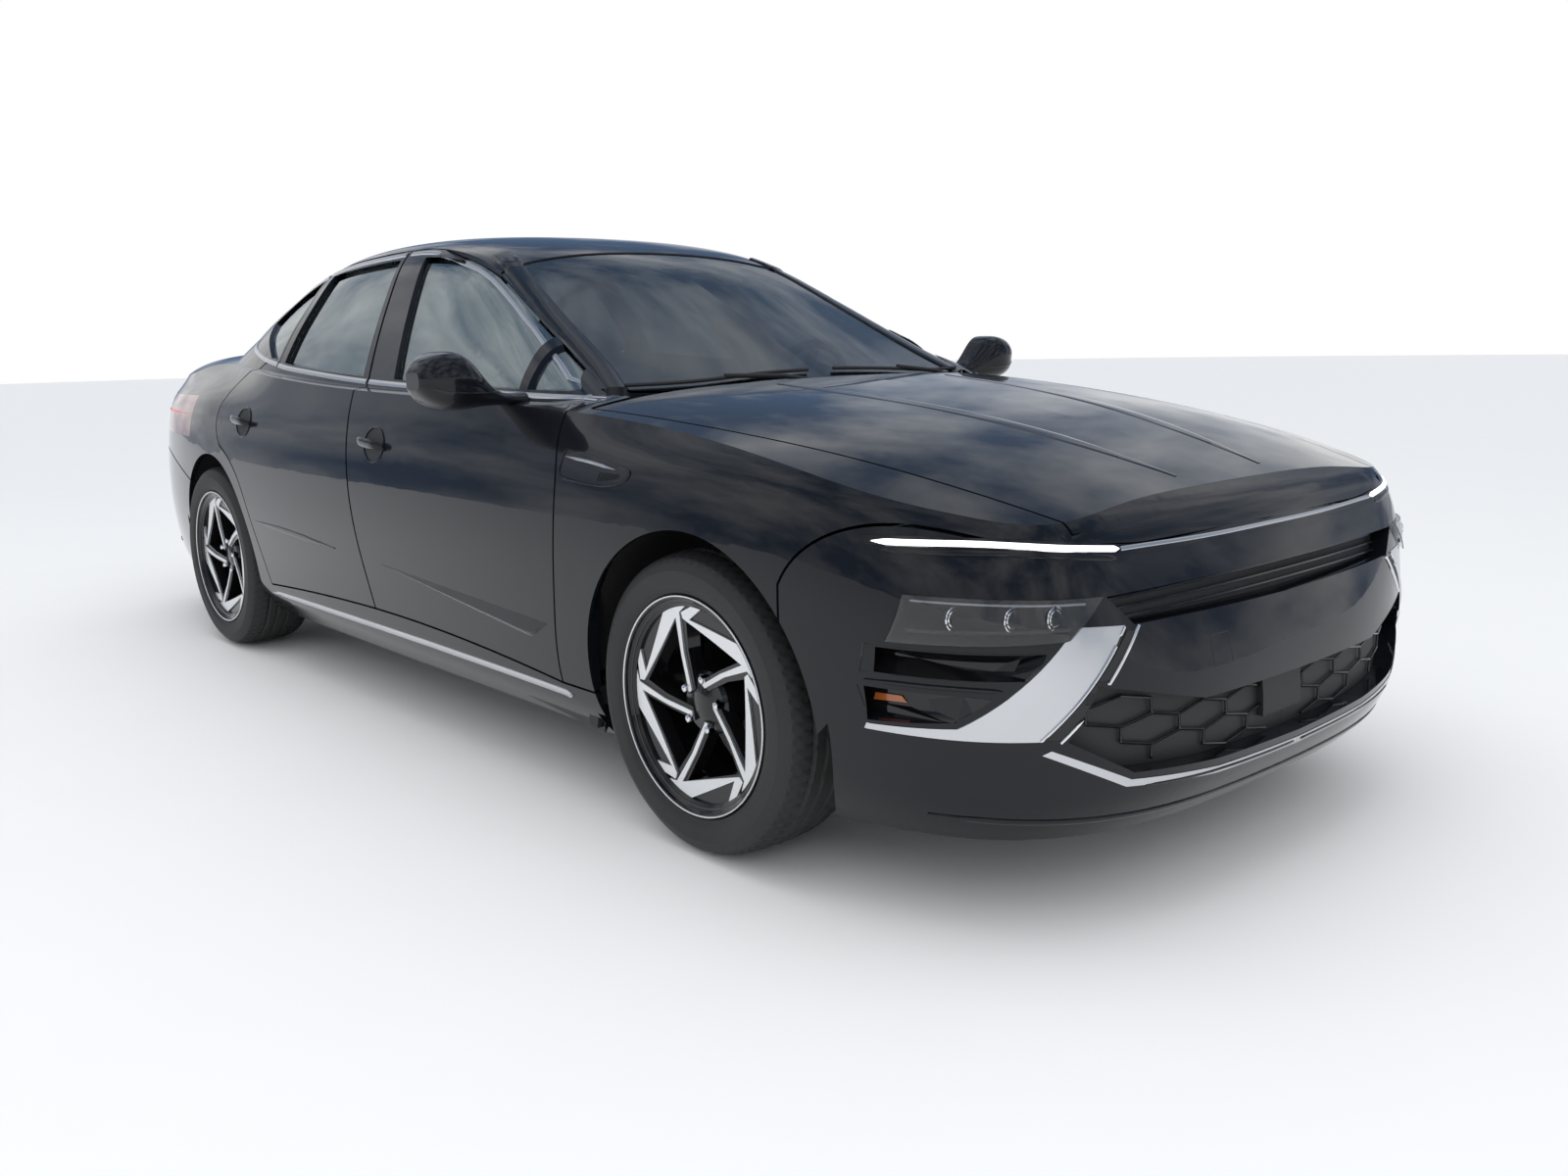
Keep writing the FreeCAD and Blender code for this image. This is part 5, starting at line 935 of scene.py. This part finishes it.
def pad_mesh(size, crown, channels, power=5.0, cuts=22):
    """A crowned pad with sides drawn in between its corners and sewn channels across its top."""
    builder = bmesh.new()
    bmesh.ops.create_cube(builder, size=2.0)
    bmesh.ops.subdivide_edges(builder, edges=builder.edges[:], cuts=cuts, use_grid_fill=True)
    half = [value / 2 for value in size]
    for vertex in builder.verts:
        a, b, c = vertex.co
        reach = (abs(a) ** power + abs(b) ** power + abs(c) ** power) ** (1 / power)
        a, b, c = a / reach, b / reach, c / reach
        pull = 0.035
        x = half[0] * a * (1 - pull * (1 - b * b))
        y = half[1] * b * (1 - pull * (1 - a * a))
        z = half[2] * c
        if c > 0:
            rise = crown * (1 - a ** 4) * (1 - b ** 4)
            for axis, place, depth, width in channels:
                offset = (a if axis == 0 else b) - place
                rise -= depth * math.exp(-(offset / width) ** 2) * min(1.0, 4 * (1 - abs(a)),
                                                                       4 * (1 - abs(b)))
            z = (half[2] - crown) * c + rise * c
        vertex.co = (x, y, z)
    return builder


def add_pad(name, size, crown, channels, place):
    builder = pad_mesh(size, crown, channels)
    builder.transform(place)
    piece = add_piece(name, builder, LEATHER, "shell", "upholstery")
    return piece


def add_piping(name, size, place, inset=0.0):
    """The sewn welt round a pad's upper edge."""
    builder = bmesh.new()
    half_x, half_y = size[0] / 2 * 0.965, size[1] / 2 * 0.965
    path = []
    for step in range(73):
        turn = 2 * math.pi * step / 72
        a, b = math.cos(turn), math.sin(turn)
        reach = (abs(a) ** 5 + abs(b) ** 5) ** 0.2
        path.append(place @ Vector((half_x * a / reach, half_y * b / reach,
                                    size[2] * 0.5 * (0.62 - inset))))
    add_tube(builder, path, 0.0032, 6)
    add_piece(name, builder, STITCH, "shell", "upholstery")


STITCH = finish("stitched_welt", (0.03, 0.03, 0.033), (0.06, 0.06, 0.064), (0.5, 0.7), grain=800.0,
                bump=0.6, depth=0.001)
SEAT_TILT = math.radians(-22)


def back_turn(x, y, z):
    """The lean of a seat's back about its foot."""
    spot = Vector((x, y, z + 0.065))
    return Matrix.Translation(spot) @ Matrix.Rotation(SEAT_TILT, 4, "Y") @ Matrix.Translation(-spot)


def add_seat(name, x, y, z, wide, rests, seams):
    upright = Matrix.Rotation(math.radians(90), 4, "Y")
    cushion_place = Matrix.Translation((x + 0.25, y, z + 0.065))
    add_pad(f"{name}_cushion", (0.50, wide, 0.13), 0.022, seams, cushion_place)
    add_piping(f"{name}_cushion_welt", (0.50, wide, 0.13), cushion_place)
    lean = back_turn(x, y, z)
    back_place = lean @ Matrix.Translation((x - 0.071, y, z + 0.339)) @ upright
    back_seams = [(axis, place, depth * 0.9, width) for axis, place, depth, width in seams]
    piece = add_pad(f"{name}_back", (0.60, wide * 0.96, 0.11), 0.020, back_seams, back_place)
    add_piping(f"{name}_back_welt", (0.60, wide * 0.96, 0.11), back_place)
    for index, rest in enumerate(rests):
        rest_place = lean @ Matrix.Translation((x - 0.114, y + rest, z + 0.690)) @ upright
        add_pad(f"{name}_head_rest_{index}", (0.160, 0.26, 0.09), 0.014, [], rest_place)
        builder = bmesh.new()
        for post in (-0.055, 0.055):
            add_tube(builder, [lean @ Vector((x - 0.110, y + rest + post, z + 0.55)),
                               lean @ Vector((x - 0.112, y + rest + post, z + 0.64))], 0.006, 10)
        add_piece(f"{name}_rest_posts_{index}", builder, CHROME, "shell", "bright_trim")
    builder = bmesh.new()
    foot = [(x + 0.13, y - wide * 0.35), (x + 0.37, y - wide * 0.35), (x + 0.37, y + wide * 0.35),
            (x + 0.13, y + wide * 0.35)]
    rings = [[Vector((a, b, level)) for a, b in foot] for level in (0.2035, 0.24, z + 0.05)]
    loft(builder, rings)
    bmesh.ops.bevel(builder, geom=builder.edges[:], offset=0.006, segments=2, affect="EDGES")
    add_piece(f"{name}_plinth", builder, MATT_BLACK, "shell", "dark_plastic")
    return piece


def add_seats():
    front_seams = [(1, -0.56, 0.010, 0.035), (1, 0.56, 0.010, 0.035), (0, -0.35, 0.006, 0.03),
                   (0, 0.0, 0.006, 0.03), (0, 0.35, 0.006, 0.03)]
    for side_name, side in SIDES:
        add_seat(f"front_seat_{side_name}", -0.06, side * 0.38, 0.33, 0.52, (0.0,),
                               front_seams)
    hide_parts("front_seats")
    rear_seams = [(1, -0.33, 0.010, 0.02), (1, 0.33, 0.010, 0.02), (1, -0.8, 0.006, 0.02),
                  (1, 0.8, 0.006, 0.02), (0, 0.0, 0.006, 0.03)]
    rear = add_seat("rear_bench", -0.96, 0.0, 0.34, 1.22, (-0.34, 0.34), rear_seams)
    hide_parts("rear_seat")


# Stage

def add_world():
    """A white backdrop for the camera and a clouded pale one for the light and reflections."""
    world = bpy.data.worlds.new("studio")
    bpy.context.scene.world = world
    world.use_nodes = True
    nodes, links = world.node_tree.nodes, world.node_tree.links
    nodes.clear()
    output = nodes.new("ShaderNodeOutputWorld")
    place = nodes.new("ShaderNodeTexCoord")
    clouds = nodes.new("ShaderNodeTexNoise")
    clouds.inputs["Scale"].default_value = 2.6
    clouds.inputs["Detail"].default_value = 5.0
    clouds.inputs["Roughness"].default_value = 0.6
    links.new(place.outputs["Generated"], clouds.inputs["Vector"])
    ramp = nodes.new("ShaderNodeValToRGB")
    ramp.color_ramp.elements[0].position = 0.40
    ramp.color_ramp.elements[0].color = (0.10, 0.16, 0.27, 1.0)
    ramp.color_ramp.elements[1].position = 0.66
    ramp.color_ramp.elements[1].color = (1.0, 1.0, 1.0, 1.0)
    links.new(clouds.outputs["Fac"], ramp.inputs["Fac"])
    lit = nodes.new("ShaderNodeBackground")
    lit.inputs["Color"].default_value = (0.95, 0.97, 1.0, 1.0)
    lit.inputs["Strength"].default_value = 1.0
    shiny = nodes.new("ShaderNodeBackground")
    links.new(ramp.outputs["Color"], shiny.inputs["Color"])
    shiny.inputs["Strength"].default_value = 1.0
    seen = nodes.new("ShaderNodeBackground")
    seen.inputs["Color"].default_value = (1.0, 1.0, 1.0, 1.0)
    ray = nodes.new("ShaderNodeLightPath")
    first = nodes.new("ShaderNodeMixShader")
    links.new(ray.outputs["Is Glossy Ray"], first.inputs["Fac"])
    links.new(lit.outputs["Background"], first.inputs[1])
    links.new(shiny.outputs["Background"], first.inputs[2])
    through = nodes.new("ShaderNodeMath")
    through.operation = "MAXIMUM"
    links.new(ray.outputs["Is Camera Ray"], through.inputs[0])
    links.new(ray.outputs["Is Transmission Ray"], through.inputs[1])
    second = nodes.new("ShaderNodeMixShader")
    links.new(through.outputs["Value"], second.inputs["Fac"])
    links.new(first.outputs["Shader"], second.inputs[1])
    links.new(seen.outputs["Background"], second.inputs[2])
    links.new(second.outputs["Shader"], output.inputs["Surface"])


def add_floor():
    floor_mesh = bpy.data.meshes.new("floor_mesh")
    builder = bmesh.new()
    bmesh.ops.create_circle(builder, cap_ends=True, radius=40.0, segments=128)
    builder.to_mesh(floor_mesh)
    builder.free()
    floor = bpy.data.objects.new("stage_floor", floor_mesh)
    bpy.context.scene.collection.objects.link(floor)
    floor.location = (0.0, 0.0, -0.001)
    floor_mesh.materials.append(finish("stage_white", (0.9, 0.9, 0.9), (0.92, 0.92, 0.92),
                                       (0.6, 0.7), bump=0.0))


def add_lamp(name, place, target, size, power):
    data = bpy.data.lights.new(name, "AREA")
    data.shape = "RECTANGLE"
    data.size, data.size_y = size
    data.energy = power
    lamp = bpy.data.objects.new(name, data)
    bpy.context.scene.collection.objects.link(lamp)
    lamp.location = place
    lamp.visible_glossy = False
    lamp.rotation_euler = (Vector(target) - Vector(place)).to_track_quat("-Z", "Y").to_euler()
    return lamp


add_camera()
finish_nodes()
for side_name, side in SIDES:
    for place_name in AXLES:
        add_tyre(place_name, side_name, side)
        add_wheel(place_name, side_name, side)
    add_side_trim(side_name, side)
    add_headlamp(side_name, side)
    add_corner(side_name, side)
    add_mirror(side_name, side)
add_light_bar()
add_bonnet_lip()
add_grille_mesh()
add_wipers()
add_cowl()
add_tail()
add_seats()
add_world()
add_floor()
add_lamp("top_softbox", (0.5, -1.0, 5.0), (0.0, 0.0, 0.0), (6.0, 3.0), 60.0)
add_lamp("front_softbox", (5.5, -4.0, 3.2), (0.5, 0.0, 0.5), (3.0, 2.0), 25.0)
